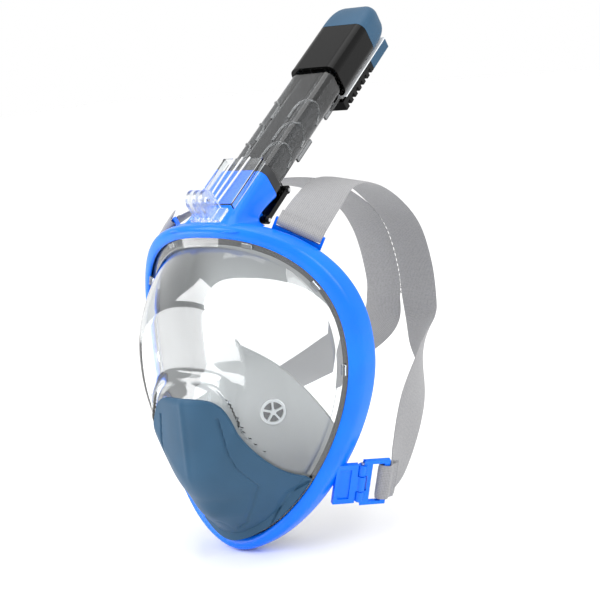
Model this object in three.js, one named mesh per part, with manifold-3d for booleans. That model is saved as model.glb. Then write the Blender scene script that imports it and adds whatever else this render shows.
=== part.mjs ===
// Full-face snorkel mask with a folding dry-top snorkel. Millimetres, +Z up.
// The wearer looks along -Y, +X is the wearer's left, and the origin is the middle of the face opening.
import * as THREE from "three";
import { mergeVertices } from "three/addons/utils/BufferGeometryUtils.js";
import Module from "manifold-3d";

const wasm = await Module();
wasm.setup();

// ---------------------------------------------------------------- driving dimensions
const GAP = 0.35; // between pieces that touch
const THROUGH = 60; // length of a cutting tool that passes right through a piece
const AROUND = 60; // steps round the frame

// The frame's outline is an egg: a superellipse above its widest line and a more pointed one below.
const HALF_WIDTH = 103.5;
const WIDEST_AT = 24;
const RISE = 104.5; // from the widest line to the brow
const DROP = 147; // from the widest line to the chin
const BROW_POWER = 2.4;
const CHIN_POWER = 1.75;
const MIDDLE_DEPTH = -11; // Y of the frame on the centre line
const BEND = 0.004; // the frame bends back round the face as a parabola, Y = BEND * X²

// Depths through the clamped stack, measured from the bent frame surface.
const LIP_BACK = -11.5; // back of the frame's front lip
const LENS_RIM = [-11.15, -8.9];
const GASKET = [-8.55, -7.05];
const BEAD = [-6.7, -4.25];
const CLAMP = [-3.9, -0.9];

const LENS_FRONT = -53; // Y of the flat front panel
const LENS_WALL = 2.4;
const NOSE_RISE = 14; // how far the lens bulges over the nose
const FLANGE = 17; // width of the lens's flat border

// The snorkel leans back from the frame. Its socket is the middle of the neck's upper end.
const LEAN = THREE.MathUtils.degToRad(57);
const SOCKET = new THREE.Vector3(0, 36, 148);
const TUBE = { width: 40, depth: 24, round: 7, wall: 1.8, from: 10, to: 133 };
const NECK = { width: 44, depth: 28, wall: 3, floor: 126, front: -24, back: 13 };
const HEAD = { width: 45, front: -15, back: 15, from: 125, to: 181, cap: 213, wall: 2 };
const REAR = { back: 25, from: 119, split: 173, to: 203 };

// The folding hinge's two pins, in the snorkel's own axes.
const LOWER_PIN = { back: 18, up: -19 };
const UPPER_PIN = { back: 18, up: 15 };
const PIN = { radius: 1.5, bore: 1.85, barrel: 3.3, length: 43 };
const EAR = { thick: 4, height: 7, from: 4, at: 12 };
const LINK = { half: 20, thick: 4.2, windowEnds: 8, notchWidth: 5, notchHeight: 9.4 };

const WEBBING = { width: 35, endWidth: 29, thick: 1.6 };
const VALVE = { radius: 9.5, at: [30, -17] };

// ---------------------------------------------------------------- materials
function material(colour, roughness, metalness = 0, opacity = 1) {
  return new THREE.MeshStandardMaterial({
    color: colour,
    roughness,
    metalness,
    transparent: opacity < 1,
    opacity,
  });
}
const bluePlastic = () => material(0x0a84ff, 0.35);
const navyPlastic = () => material(0x3a5a72, 0.5);
const blackPlastic = () => material(0x101113, 0.4);
const clearPlastic = () => material(0xe8eef2, 0.05, 0, 0.3);
const smokedPlastic = () => material(0x4a4d50, 0.1, 0, 0.5);
const greySilicone = () => material(0xafafaf, 0.6);
const blackRubber = () => material(0x1a1a1a, 0.8);
const greyWebbing = () => material(0xaaaaaa, 0.9);
const steel = () => material(0xc8c8c8, 0.3, 1);

// ---------------------------------------------------------------- solids
const group = new THREE.Group();

// Adds a named mesh to a group and returns it.
function piece(name, geometry, finish, parent = group) {
  const mesh = new THREE.Mesh(geometry, finish);
  mesh.name = name;
  parent.add(mesh);
  return mesh;
}

// A geometry whose points are merged and whose flat triangles are gone.
function cleaned(geometry) {
  const bare = geometry.clone();
  bare.deleteAttribute("normal");
  bare.deleteAttribute("uv");
  const merged = mergeVertices(bare, 1e-3);
  const corners = [];
  for (let i = 0; i < merged.index.count; i += 3) {
    const [a, b, c] = [0, 1, 2].map((k) => merged.index.getX(i + k));
    if (a !== b && b !== c && c !== a) corners.push(a, b, c);
  }
  return new THREE.BufferGeometry()
    .setAttribute("position", merged.getAttribute("position"))
    .setIndex(corners);
}

function solid(geometry) {
  const shape = cleaned(geometry);
  return new wasm.Manifold(
    new wasm.Mesh({
      numProp: 3,
      vertProperties: new Float32Array(shape.getAttribute("position").array),
      triVerts: new Uint32Array(shape.index.array),
    }),
  );
}

function surface(body) {
  const mesh = body.getMesh();
  const geometry = new THREE.BufferGeometry()
    .setAttribute("position", new THREE.BufferAttribute(mesh.vertProperties, 3))
    .setIndex(new THREE.BufferAttribute(mesh.triVerts, 1));
  geometry.computeVertexNormals();
  return geometry;
}

const joined = (first, ...rest) => surface(rest.reduce((sum, g) => sum.add(solid(g)), solid(first)));
const cut = (first, ...rest) => surface(rest.reduce((sum, g) => sum.subtract(solid(g)), solid(first)));

// A closed skin over a list of closed sections. A ring joins the last section to the first.
function skin(sections, ring) {
  const count = sections[0].length;
  const points = sections.flat();
  const corners = [];
  const spans = ring ? sections.length : sections.length - 1;
  for (let i = 0; i < spans; i++) {
    for (let j = 0; j < count; j++) {
      const here = i * count;
      const next = ((i + 1) % sections.length) * count;
      const after = (j + 1) % count;
      corners.push(here + j, next + j, next + after, here + j, next + after, here + after);
    }
  }
  const geometry = new THREE.BufferGeometry().setFromPoints(points).setIndex(corners);
  if (volume(points, corners) < 0) geometry.setIndex(corners.reverse());
  const closed = cleaned(geometry);
  closed.computeVertexNormals();
  return closed;
}

function volume(points, corners) {
  let sum = 0;
  const normal = new THREE.Vector3();
  for (let i = 0; i < corners.length; i += 3) {
    const [a, b, c] = corners.slice(i, i + 3).map((k) => points[k]);
    sum += a.dot(normal.crossVectors(b, c));
  }
  return sum;
}

// A rounded rectangle in its own plane.
function roundedRectangle(width, height, radius) {
  const [x, y] = [width / 2, height / 2];
  const shape = new THREE.Shape();
  shape.absarc(x - radius, y - radius, radius, 0, Math.PI / 2);
  shape.absarc(radius - x, y - radius, radius, Math.PI / 2, Math.PI);
  shape.absarc(radius - x, radius - y, radius, Math.PI, 1.5 * Math.PI);
  shape.absarc(x - radius, radius - y, radius, 1.5 * Math.PI, 2 * Math.PI);
  return shape;
}

// A shape pulled along +Z from one height to another.
function pulled(shape, from, to, curveSegments = 4) {
  const geometry = new THREE.ExtrudeGeometry(shape, {
    depth: to - from,
    bevelEnabled: false,
    curveSegments,
  });
  return geometry.translate(0, 0, from);
}

// An outline given as [Y, Z] points.
const sideShape = (points) => new THREE.Shape(points.map(([y, z]) => new THREE.Vector2(y, z)));

// Such an outline pulled along X to both sides of the centre line.
function pulledAcross(shape, halfWidth) {
  const turn = new THREE.Matrix4().makeBasis(
    new THREE.Vector3(0, 1, 0),
    new THREE.Vector3(0, 0, 1),
    new THREE.Vector3(1, 0, 0),
  );
  return pulled(shape, -halfWidth, halfWidth).applyMatrix4(turn);
}

function block(width, depth, height, x, y, z) {
  return new THREE.BoxGeometry(width, depth, height).translate(x, y, z);
}

// A rod along X, Y or Z.
function rod(radius, length, axis, x, y, z, sides = 20) {
  const geometry = new THREE.CylinderGeometry(radius, radius, length, sides);
  if (axis === "x") geometry.rotateZ(Math.PI / 2);
  if (axis === "z") geometry.rotateX(Math.PI / 2);
  return geometry.translate(x, y, z);
}

// ---------------------------------------------------------------- the frame's surface
// Angle 0 is the brow, a quarter turn is the +X side, and half a turn is the chin.
function outline(angle, outset) {
  const [s, c] = [Math.sin(angle), Math.cos(angle)];
  const power = 2 / (c > 0 ? BROW_POWER : CHIN_POWER);
  const reach = (c > 0 ? RISE : DROP) + outset;
  return {
    x: (HALF_WIDTH + outset) * Math.sign(s) * Math.abs(s) ** power,
    z: WIDEST_AT + reach * Math.sign(c) * Math.abs(c) ** power,
  };
}

function framePoint(angle, outset, depth) {
  const { x, z } = outline(angle, outset);
  return new THREE.Vector3(x, MIDDLE_DEPTH + BEND * x * x + depth, z);
}

// The angle at which the outline passes a height.
function angleAt(height) {
  const above = height > WIDEST_AT;
  const share = Math.abs(height - WIDEST_AT) / (above ? RISE : DROP);
  const angle = Math.acos(share ** ((above ? BROW_POWER : CHIN_POWER) / 2));
  return above ? angle : Math.PI - angle;
}

// Sweeps a section of [outset, depth] points round the frame.
function frameRing(sectionAt, steps = AROUND) {
  const sections = [];
  for (let i = 0; i < steps; i++) {
    const angle = (2 * Math.PI * i) / steps;
    sections.push(sectionAt(angle).map(([outset, depth]) => framePoint(angle, outset, depth)));
  }
  return skin(sections, true);
}

// Axes at a place on the frame: X along the outline, Y to the back, Z outward.
function frameStation(angle, outset, depth) {
  const step = 0.01;
  const along = framePoint(angle + step, outset, depth).sub(framePoint(angle - step, outset, depth));
  const out = along.clone().cross(new THREE.Vector3(0, 1, 0)).normalize();
  along.normalize();
  const back = out.clone().cross(along);
  return new THREE.Matrix4()
    .makeBasis(along, back, out)
    .setPosition(framePoint(angle, outset, depth));
}

// How far a point lies from the middle of the lens: 0 there and 1 at the dome's edge.
function domeShare(x, z, inset = FLANGE) {
  const above = z > WIDEST_AT;
  const power = above ? BROW_POWER : CHIN_POWER;
  const reach = (above ? RISE : DROP) - inset;
  const across = (Math.abs(x) / (HALF_WIDTH - inset)) ** power;
  const up = (Math.abs(z - WIDEST_AT) / reach) ** power;
  return (across + up) ** (1 / power);
}

function eased(value, from, to) {
  const share = THREE.MathUtils.clamp((value - from) / (to - from), 0, 1);
  return share * share * (3 - 2 * share);
}

// Y of the lens's front surface: a flat panel, side panels that run back to the border, and a nose bulge.
function lensDepth(x, z) {
  const flatShare = 0.56;
  const share = domeShare(x, z);
  const edgeX = share > 0 ? x / Math.max(share, 1e-6) : 0;
  const border = MIDDLE_DEPTH + BEND * (share < 1 ? edgeX * edgeX : x * x) + LENS_RIM[0];
  if (share >= 1) return border;
  const slope = Math.max(0, (share - flatShare) / (1 - flatShare)) ** 1.5;
  const nose = Math.exp(-((x / 30) ** 2)) * eased(z, 26, 4) * eased(z, -112, -50);
  return LENS_FRONT + (border - LENS_FRONT) * slope - NOSE_RISE * nose;
}

// ---------------------------------------------------------------- front frame, with neck and lugs
const snorkelPlace = new THREE.Matrix4()
  .makeRotationX(-LEAN)
  .setPosition(SOCKET);
const inSnorkel = (geometry) => geometry.applyMatrix4(snorkelPlace);
// A point of the snorkel's centre plane as [Y, Z]: back across the tube, up along it.
function snorkelPoint(back, up) {
  const place = new THREE.Vector3(0, back, up).applyMatrix4(snorkelPlace);
  return [place.y, place.z];
}

// The lug's root is its place on the frame's wall, as an outset and a depth.
const LUG = { root: [2.2, -4], length: 20, thick: 4, height: 33, knuckle: 3.6, knuckleHeight: 12, sunk: 1 };
const LUG_RECESS = { width: 9, depth: 1.1, margin: 4, at: 6.5 };
const BUCKLE = { length: 21, height: 38, thick: 3.6, knuckle: 3.4, knuckleHeight: 8.4 };
const KNUCKLE_GAP = 0.15; // above and below the lug's knuckle, where the buckle's two meet it
const BUCKLE_HEIGHT = -71; // height at which the lower strap lugs leave the frame
const buckleAlong = new THREE.Vector3(0.585, 0.8, -0.13).normalize();

// Axes of a lower buckle: X out along the strap, Y through it, Z up along it. side is 1 or -1.
function buckleStation(side) {
  const angle = angleAt(BUCKLE_HEIGHT);
  const [outset, depth] = LUG.root;
  const origin = framePoint(angle, outset, depth);
  const up = framePoint(angle - 0.01, outset, depth).sub(framePoint(angle + 0.01, outset, depth)).normalize();
  const along = buckleAlong.clone();
  for (const v of [origin, up, along]) v.x *= side;
  up.addScaledVector(along, -up.dot(along)).normalize();
  return new THREE.Matrix4()
    .makeBasis(along, up.clone().cross(along), up)
    .setPosition(origin);
}

const FRAME_BAND = [
  [-10, -13.3],
  [-8.6, -15.2],
  [-4.5, -16.2],
  [-1.2, -14.8],
  [0, -12],
  [1, 0],
  [-1.8, 0],
  [-2.8, LIP_BACK],
  [-10, LIP_BACK],
];

function neckOutside() {
  const half = NECK.depth / 2;
  const profile = [
    [NECK.front, NECK.floor],
    snorkelPoint(-half, 0),
    snorkelPoint(half, 0),
    [NECK.back, NECK.floor],
  ];
  return pulledAcross(sideShape(profile), NECK.width / 2);
}

function neckDuct() {
  const half = NECK.depth / 2 - NECK.wall;
  const [front, back, below] = [-8, NECK.back - 4, NECK.floor - 4];
  const profile = [
    [front, below],
    [front, NECK.floor + 5],
    snorkelPoint(-half, 5),
    snorkelPoint(half, 5),
    [back, NECK.floor + 1],
    [back, below],
  ];
  return pulledAcross(sideShape(profile), NECK.width / 2 - NECK.wall);
}

// Two ears stand in the link's notches and hold a hinge pin. They are in the snorkel's axes.
function hingeEars(pin) {
  return [-1, 1].map((side) => {
    const x = side * EAR.at;
    const web = block(EAR.thick, pin.back - EAR.from, EAR.height, x, (pin.back + EAR.from) / 2, pin.up);
    return joined(web, rod(PIN.barrel, EAR.thick, "x", x, pin.back, pin.up));
  });
}

function strapLug(side) {
  const plate = block(LUG.length, LUG.thick, LUG.height, LUG.length / 2 - LUG.sunk, 0, 0);
  const knuckle = rod(LUG.knuckle, LUG.knuckleHeight, "z", LUG.length, 0, 0);
  const { width, depth, margin, at } = LUG_RECESS;
  const recesses = [-1, 1].map((face) =>
    block(width, 2 * depth, LUG.height - 2 * margin, at, (face * LUG.thick) / 2, 0),
  );
  const bore = rod(PIN.bore, THROUGH, "z", LUG.length, 0, 0);
  const endRoom = LUG.knuckleHeight;
  const endMiddle = LUG.knuckleHeight / 2 + KNUCKLE_GAP + endRoom / 2;
  const clearance = [-1, 1].map((end) => block(12, 8, endRoom, LUG.length + 2, 0, end * endMiddle));
  const lug = surface(
    [...clearance, ...recesses, bore].reduce(
      (sum, g) => sum.subtract(solid(g)),
      solid(plate).add(solid(knuckle)),
    ),
  );
  return lug.applyMatrix4(buckleStation(side));
}

const band = frameRing(() => FRAME_BAND);
const neckEars = hingeEars(LOWER_PIN).map(inSnorkel);
const frameBody = joined(band, neckOutside(), ...neckEars, strapLug(1), strapLug(-1));
const lowerBore = inSnorkel(rod(PIN.bore, THROUGH, "x", 0, LOWER_PIN.back, LOWER_PIN.up));
piece("frame_front", cut(frameBody, neckDuct(), lowerBore), bluePlastic());

// ---------------------------------------------------------------- clamped stack
const rectangle = ([front, back], outer, inner) => () => [
  [outer, front],
  [outer, back],
  [inner, back],
  [inner, front],
];
piece("frame_rear_clamp", frameRing(rectangle(CLAMP, -3.2, -8.5)), bluePlastic());
piece("lens_gasket", frameRing(rectangle(GASKET, -4, -15.5)), blackRubber());

function lensSection(angle) {
  const shares = [1, 0.9, 0.8, 0.7, 0.6, 0.5, 0.25, 0];
  const front = shares.map((share) => {
    const { x, z } = outline(angle, -FLANGE);
    const [px, pz] = [x * share, WIDEST_AT + (z - WIDEST_AT) * share];
    return new THREE.Vector3(px, lensDepth(px, pz), pz);
  });
  const back = front
    .map((p) => p.clone().setY(p.y + LENS_WALL))
    .reverse();
  const [lipEdge, rimEdge] = [-10, -3.3];
  const rim = [
    framePoint(angle, lipEdge, LENS_RIM[1]),
    framePoint(angle, rimEdge, LENS_RIM[1]),
    framePoint(angle, rimEdge, LENS_RIM[0]),
    framePoint(angle, lipEdge, LENS_RIM[0]),
  ];
  return [...front, ...back, ...rim];
}

// The drain valve sits in a round hole low in the lens.
const DRAIN = { height: -98, radius: 9, seat: 2.6 };
DRAIN.depth = lensDepth(0, DRAIN.height);
function lens() {
  const sections = [];
  for (let i = 0; i < AROUND; i++) sections.push(lensSection((2 * Math.PI * i) / AROUND));
  const hole = rod(DRAIN.radius + GAP, THROUGH, "y", 0, DRAIN.depth, DRAIN.height);
  return cut(skin(sections, true), hole);
}
piece("lens", lens(), clearPlastic());

// Six clips hold the lens's border against the frame's lip, above the chin cover.
const LENS_CLIPS = 6;
function lensClip(index) {
  const angle = THREE.MathUtils.degToRad(-95 + (190 * index) / (LENS_CLIPS - 1));
  const place = frameStation(angle, -12.6, LENS_RIM[0] - 2.1);
  return block(8, 1.6, 3.4, 0, 0, 0).applyMatrix4(place);
}
for (let i = 0; i < LENS_CLIPS; i++) piece(`lens_clip_${i + 1}`, lensClip(i), clearPlastic());

// ---------------------------------------------------------------- silicone
function skirtSection(angle) {
  const up = Math.cos(angle);
  const lip = -(35 + (up > 0 ? 15 : -5) * Math.abs(up) ** 1.5);
  return [
    [-4.5, BEAD[0]],
    [-4.5, BEAD[1]],
    [-9, BEAD[1]],
    [-9, 14],
    [-13, 28],
    [-20, 35],
    [lip, 37],
    [lip, 34.8],
    [-21, 32.6],
    [-15.3, 26.8],
    [-11.4, 13],
    [-11.4, BEAD[0]],
  ];
}
// Breath leaves the skirt's top through a slot below the neck.
const BREATH_SLOT = { width: 32, depth: 14, height: 30, y: -3, z: 118 };
const breathSlot = block(
  BREATH_SLOT.width,
  BREATH_SLOT.depth,
  BREATH_SLOT.height,
  0,
  BREATH_SLOT.y,
  BREATH_SLOT.z,
);
piece("face_skirt", cut(frameRing(skirtSection), breathSlot), greySilicone());

// A shell between a lower and an upper edge, column by column across X, that thins out at both ends.
function apron({ half, columns, rows, low, high, depthAt, wall }) {
  const sections = [];
  for (let i = 0; i <= columns; i++) {
    const x = half * Math.sin((Math.PI / 2) * ((2 * i) / columns - 1));
    const thick = i % columns === 0 ? 0 : wall;
    const front = [];
    for (let j = 0; j <= rows; j++) {
      const z = THREE.MathUtils.lerp(low(x), high(x), j / rows);
      front.push(new THREE.Vector3(x, depthAt(x, z), z));
    }
    const back = front.map((p) => p.clone().setY(p.y + thick)).reverse();
    sections.push([...front, ...back]);
  }
  return skin(sections, false);
}

// The lower part of the outline at an inset, as a height for each X.
function chinLine(x, inset) {
  const share = Math.min(1, Math.abs(x) / (HALF_WIDTH - inset)) ** CHIN_POWER;
  return WIDEST_AT - (DROP - inset) * (1 - share) ** (1 / CHIN_POWER);
}

const pocketTop = (x) => 62 - Math.hypot(22, 1.2 * x);
function pocketDepth(x, z) {
  const nose = 32 * Math.exp(-((x / 30) ** 2)) * (1 + 0.45 * eased(z, 20, -25));
  return 14 - nose * (0.35 + 0.65 * eased(z, -105, -40)) - 14 * eased(z, -55, -105);
}

// Moves a piece built facing -Y onto the pocket's wall at a valve. side is 1 or -1.
function valvePlace(side) {
  const [x, z] = VALVE.at;
  const slope = (pocketDepth(x + 1, z) - pocketDepth(x - 1, z)) / 2;
  return new THREE.Matrix4()
    .makeRotationZ(side * Math.atan(slope))
    .setPosition(side * x, pocketDepth(x, z), z);
}

function nosePocket() {
  const shell = apron({
    half: 73.5,
    columns: 24,
    rows: 8,
    low: (x) => chinLine(x, 18.5),
    high: pocketTop,
    depthAt: pocketDepth,
    wall: 2.2,
  });
  const holes = [1, -1].map((side) =>
    rod(VALVE.radius + GAP, THROUGH / 2, "y", 0, 0, 0).applyMatrix4(valvePlace(side)),
  );
  return cut(shell, ...holes);
}
piece("nose_pocket", nosePocket(), greySilicone());

// A round valve seat: a rim, a hub and five spokes, facing -Y.
const SEAT = { rim: 1.8, hub: 2.2, spokes: 5, spokeWidth: 1.4 };
function valveSeat(radius, thick) {
  const rim = cut(
    rod(radius, thick, "y", 0, 0, 0, 32),
    rod(radius - SEAT.rim, thick * 2, "y", 0, 0, 0, 32),
  );
  const reach = radius - SEAT.rim / 2;
  const spokes = [];
  for (let i = 0; i < SEAT.spokes; i++) {
    const spoke = block(SEAT.spokeWidth, thick, reach, 0, 0, reach / 2);
    spokes.push(spoke.rotateY((2 * Math.PI * i) / SEAT.spokes));
  }
  return joined(rim, rod(SEAT.hub, thick, "y", 0, 0, 0), ...spokes);
}
const FLAP = { thick: 0.8, margin: 0.7 };
const flap = (seatRadius) => rod(seatRadius - FLAP.margin, FLAP.thick, "y", 0, 0, 0, 28);

const SIDES = [
  ["left", 1],
  ["right", -1],
];
for (const [label, side] of SIDES) {
  const place = valvePlace(side);
  const seat = valveSeat(VALVE.radius, 2.4).applyMatrix4(place);
  const disc = flap(VALVE.radius).translate(0, 2, 0).applyMatrix4(place);
  piece(`inhale_valve_seat_${label}`, seat, clearPlastic());
  piece(`inhale_valve_flap_${label}`, disc, greySilicone());
}

// ---------------------------------------------------------------- chin cover and drain
// The cover's upper edge is level over the nose and drops steeply on both sides.
const coverTop = (x) => 9 - 75 / (1 + Math.exp((43 - Math.abs(x)) / 6));
function coverDepth(x, z) {
  const room = 6 * Math.exp(-((x / 26) ** 2)) * eased(z, -70, -88);
  return lensDepth(x, z) - 4.2 - room;
}
function chinCover() {
  return apron({
    half: 64.5,
    columns: 30,
    rows: 10,
    low: (x) => chinLine(x, 10.9),
    high: coverTop,
    depthAt: coverDepth,
    wall: 2.4,
  });
}
piece("chin_cover", chinCover(), navyPlastic());

const drainPlace = new THREE.Matrix4().setPosition(0, DRAIN.depth + 1.2, DRAIN.height);
piece(
  "drain_valve_seat",
  valveSeat(DRAIN.radius, DRAIN.seat).applyMatrix4(drainPlace),
  clearPlastic(),
);
piece(
  "drain_valve_flap",
  flap(DRAIN.radius).translate(0, -2.2, 0).applyMatrix4(drainPlace),
  greySilicone(),
);

// ---------------------------------------------------------------- neck fittings and folding hinge
// The pieces from here to the head's grille are in the snorkel's own axes: X across, Y to its back, Z up it.
const snorkel = new THREE.Group();
snorkel.applyMatrix4(snorkelPlace);
group.add(snorkel);

function neckCover() {
  const back = -NECK.depth / 2 - GAP;
  const [from, to] = [-42, 9];
  const middle = (from + to) / 2;
  const walls = [-1, 1].map((side) => block(1.6, 5, to - from, side * 18, back - 2.5, middle));
  const ribs = [-7, 0, 7].map((x) => block(1.4, 2.2, to - from, x, back - 6, middle));
  return joined(block(37.6, 1.6, to - from, 0, back - 4.4, middle), ...walls, ...ribs);
}
piece("neck_cover", neckCover(), clearPlastic(), snorkel);

const pinBore = (pin) => rod(PIN.bore, THROUGH, "x", 0, pin.back, pin.up);

// A three-prong action camera mount: 3 mm prongs and gaps, and a 5 mm bore.
const MOUNT = { up: -50, prong: 3, pitch: 6.1, radius: 7.5, bore: 2.5, rise: 14 };
const MOUNT_BASE = { width: 28, thick: 2.4, height: 13 };
function cameraMount() {
  const back = -NECK.depth / 2 - GAP;
  const base = block(
    MOUNT_BASE.width,
    MOUNT_BASE.thick,
    MOUNT_BASE.height,
    0,
    back - MOUNT_BASE.thick / 2,
    MOUNT.up,
  );
  const centre = back - 2 - MOUNT.rise;
  const prongs = [-1, 0, 1].map((side) => {
    const x = side * MOUNT.pitch;
    const web = block(MOUNT.prong, MOUNT.rise, 2 * MOUNT.radius, x, centre + MOUNT.rise / 2, MOUNT.up);
    return joined(web, rod(MOUNT.radius, MOUNT.prong, "x", x, centre, MOUNT.up, 28));
  });
  return cut(joined(base, ...prongs), rod(MOUNT.bore, THROUGH, "x", 0, centre, MOUNT.up));
}
piece("camera_mount", cameraMount(), clearPlastic(), snorkel);

const tubeOutline = (grow) =>
  roundedRectangle(TUBE.width + 2 * grow, TUBE.depth + 2 * grow, TUBE.round + grow);
piece(
  "socket_gasket",
  cut(pulled(tubeOutline(1.6), GAP, TUBE.from - GAP), pulled(tubeOutline(-2), -1, TUBE.from + 1)),
  blackRubber(),
  snorkel,
);

function hingeLink() {
  const barrels = [LOWER_PIN, UPPER_PIN].map((pin) =>
    rod(PIN.barrel, 2 * LINK.half, "x", 0, pin.back, pin.up),
  );
  const length = UPPER_PIN.up - LOWER_PIN.up;
  const middle = (UPPER_PIN.up + LOWER_PIN.up) / 2;
  const plate = block(2 * LINK.half, LINK.thick, length, 0, LOWER_PIN.back, middle);
  const window = block(LINK.half, 20, length - 2 * LINK.windowEnds, 0, LOWER_PIN.back, middle);
  const notches = [LOWER_PIN, UPPER_PIN].flatMap((pin) =>
    [-1, 1].map((side) => block(LINK.notchWidth, 20, LINK.notchHeight, side * EAR.at, pin.back, pin.up)),
  );
  const bores = [LOWER_PIN, UPPER_PIN].map(pinBore);
  return cut(joined(plate, ...barrels), window, ...notches, ...bores);
}
piece("hinge_link", hingeLink(), blackPlastic(), snorkel);
const hingePin = (pin) => rod(PIN.radius, PIN.length, "x", 0, pin.back, pin.up, 16);
piece("hinge_pin_lower", hingePin(LOWER_PIN), steel(), snorkel);
piece("hinge_pin_upper", hingePin(UPPER_PIN), steel(), snorkel);

// ---------------------------------------------------------------- snorkel tube
// One moulding with three ducts: breath goes in down the wide middle one and out up the narrow outer ones.
const DUCT = { middleWidth: 16, sideWidth: 8.2, sideAt: 13.9, round: 2.5 };
const RAIL = { width: 2, depth: 3, x: 16.5, stretches: [[43, 67], [94, 122]] };
function snorkelTube() {
  const ducts = [-1, 0, 1].map((side) => {
    const width = side === 0 ? DUCT.middleWidth : DUCT.sideWidth;
    const hole = roundedRectangle(width, TUBE.depth - 2 * TUBE.wall, DUCT.round);
    return pulled(hole, 0, TUBE.to + 5, 3).translate(side * DUCT.sideAt, 0, 0);
  });
  const railBack = TUBE.depth / 2 + 1;
  const rails = RAIL.stretches.flatMap(([from, to]) =>
    [-1, 1].map((side) =>
      block(RAIL.width, RAIL.depth, to - from, side * RAIL.x, railBack, (from + to) / 2),
    ),
  );
  const whole = joined(pulled(tubeOutline(0), TUBE.from, TUBE.to), ...rails, ...hingeEars(UPPER_PIN));
  return cut(whole, pinBore(UPPER_PIN), ...ducts);
}
piece("snorkel_tube", snorkelTube(), smokedPlastic(), snorkel);

// ---------------------------------------------------------------- dry-top head
const headDepth = HEAD.back - HEAD.front;
const headMiddle = (HEAD.back + HEAD.front) / 2;
const headOutline = (grow) => roundedRectangle(HEAD.width + 2 * grow, headDepth + 2 * grow, 8 + grow);

function headBody() {
  const outside = pulled(headOutline(0), HEAD.from, HEAD.to).translate(0, headMiddle, 0);
  const sleeve = pulled(tubeOutline(GAP), HEAD.from - 1, TUBE.to + GAP);
  const chamber = pulled(headOutline(-HEAD.wall), TUBE.to + 2.4, HEAD.to + 1).translate(0, headMiddle, 0);
  const ports = [-1, 0, 1].map((side) =>
    block(side ? 7 : 14, 16, 8, side * DUCT.sideAt, 0, TUBE.to + 1),
  );
  return cut(outside, sleeve, chamber, ...ports);
}
piece("head_body", headBody(), blackPlastic(), snorkel);

const VALVE_PLATE = { from: 164, to: 166 };
function valvePlate() {
  const plate = pulled(headOutline(-HEAD.wall - GAP), VALVE_PLATE.from, VALVE_PLATE.to);
  return cut(plate.translate(0, headMiddle, 0), block(20, 10, 10, 0, headMiddle, VALVE_PLATE.from));
}
piece("float_valve_plate", valvePlate(), navyPlastic(), snorkel);

// The float rises and shuts the valve plate when the head goes under water.
const FLOAT = { from: 137, to: 152, seal: 2 };
const floatOutline = (width, depth) => roundedRectangle(width, depth, 4);
piece(
  "dry_float",
  pulled(floatOutline(31, 17), FLOAT.from, FLOAT.to).translate(0, headMiddle, 0),
  navyPlastic(),
  snorkel,
);
piece(
  "float_seal",
  pulled(floatOutline(28, 14), FLOAT.to + GAP, FLOAT.to + GAP + FLOAT.seal).translate(0, headMiddle, 0),
  blackRubber(),
  snorkel,
);

function topCap() {
  const [front, back, low] = [HEAD.front, HEAD.back, HEAD.to + GAP];
  const outside = sideShape([
    [front, low],
    [back, low],
    [back, HEAD.cap - 8],
    [back - 4, HEAD.cap - 1.5],
    [back - 9, HEAD.cap],
    [front + 9, HEAD.cap],
    [front + 3.5, HEAD.cap - 3],
    [front, HEAD.cap - 11],
  ]);
  const inside = sideShape([
    [front + 2, low - 1],
    [back - 2, low - 1],
    [back - 2, HEAD.cap - 9],
    [back - 7, HEAD.cap - 2.4],
    [front + 8, HEAD.cap - 2.4],
    [front + 2, HEAD.cap - 11],
  ]);
  const rounded = pulled(headOutline(0), low - 1, HEAD.cap + 1).translate(0, headMiddle, 0);
  const trimmed = surface(
    solid(pulledAcross(outside, HEAD.width / 2)).intersect(solid(rounded)),
  );
  return cut(trimmed, pulledAcross(inside, HEAD.width / 2 - 2.2));
}
piece("top_cap", topCap(), navyPlastic(), snorkel);

// The back of the head: a navy cover over a black ribbed drain grille, on a clear gasket.
const SEAM_THICK = 0.9;
const SEAM_FROM = HEAD.from;
const backFrom = HEAD.back + GAP;
piece(
  "head_seam_gasket",
  block(41, SEAM_THICK, REAR.to - SEAM_FROM, 0, backFrom + SEAM_THICK / 2, (REAR.to + SEAM_FROM) / 2),
  clearPlastic(),
  snorkel,
);
const rearFrom = backFrom + SEAM_THICK + GAP;
function rearShell(from, to) {
  const depth = REAR.back - rearFrom;
  const shell = block(40, depth, to - from, 0, rearFrom + depth / 2, (from + to) / 2);
  const hollow = block(35, depth, to - from - 6, 0, rearFrom + depth / 2 - 2.4, (from + to) / 2);
  return cut(shell, hollow);
}
piece("head_rear_cover", rearShell(REAR.split + GAP, REAR.to), navyPlastic(), snorkel);

const FINS = 6;
const FIN_DEPTH = 4.5;
function rearGrille() {
  const pitch = (REAR.split - REAR.from - 6) / FINS;
  const slots = [];
  for (let i = 0; i < FINS; i++) {
    const up = REAR.from + 3 + pitch * (i + 0.5);
    slots.push(block(THROUGH, 2 * FIN_DEPTH, pitch * 0.45, 0, REAR.back, up));
  }
  return cut(rearShell(REAR.from, REAR.split), ...slots);
}
piece("head_rear_grille", rearGrille(), blackPlastic(), snorkel);

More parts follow.
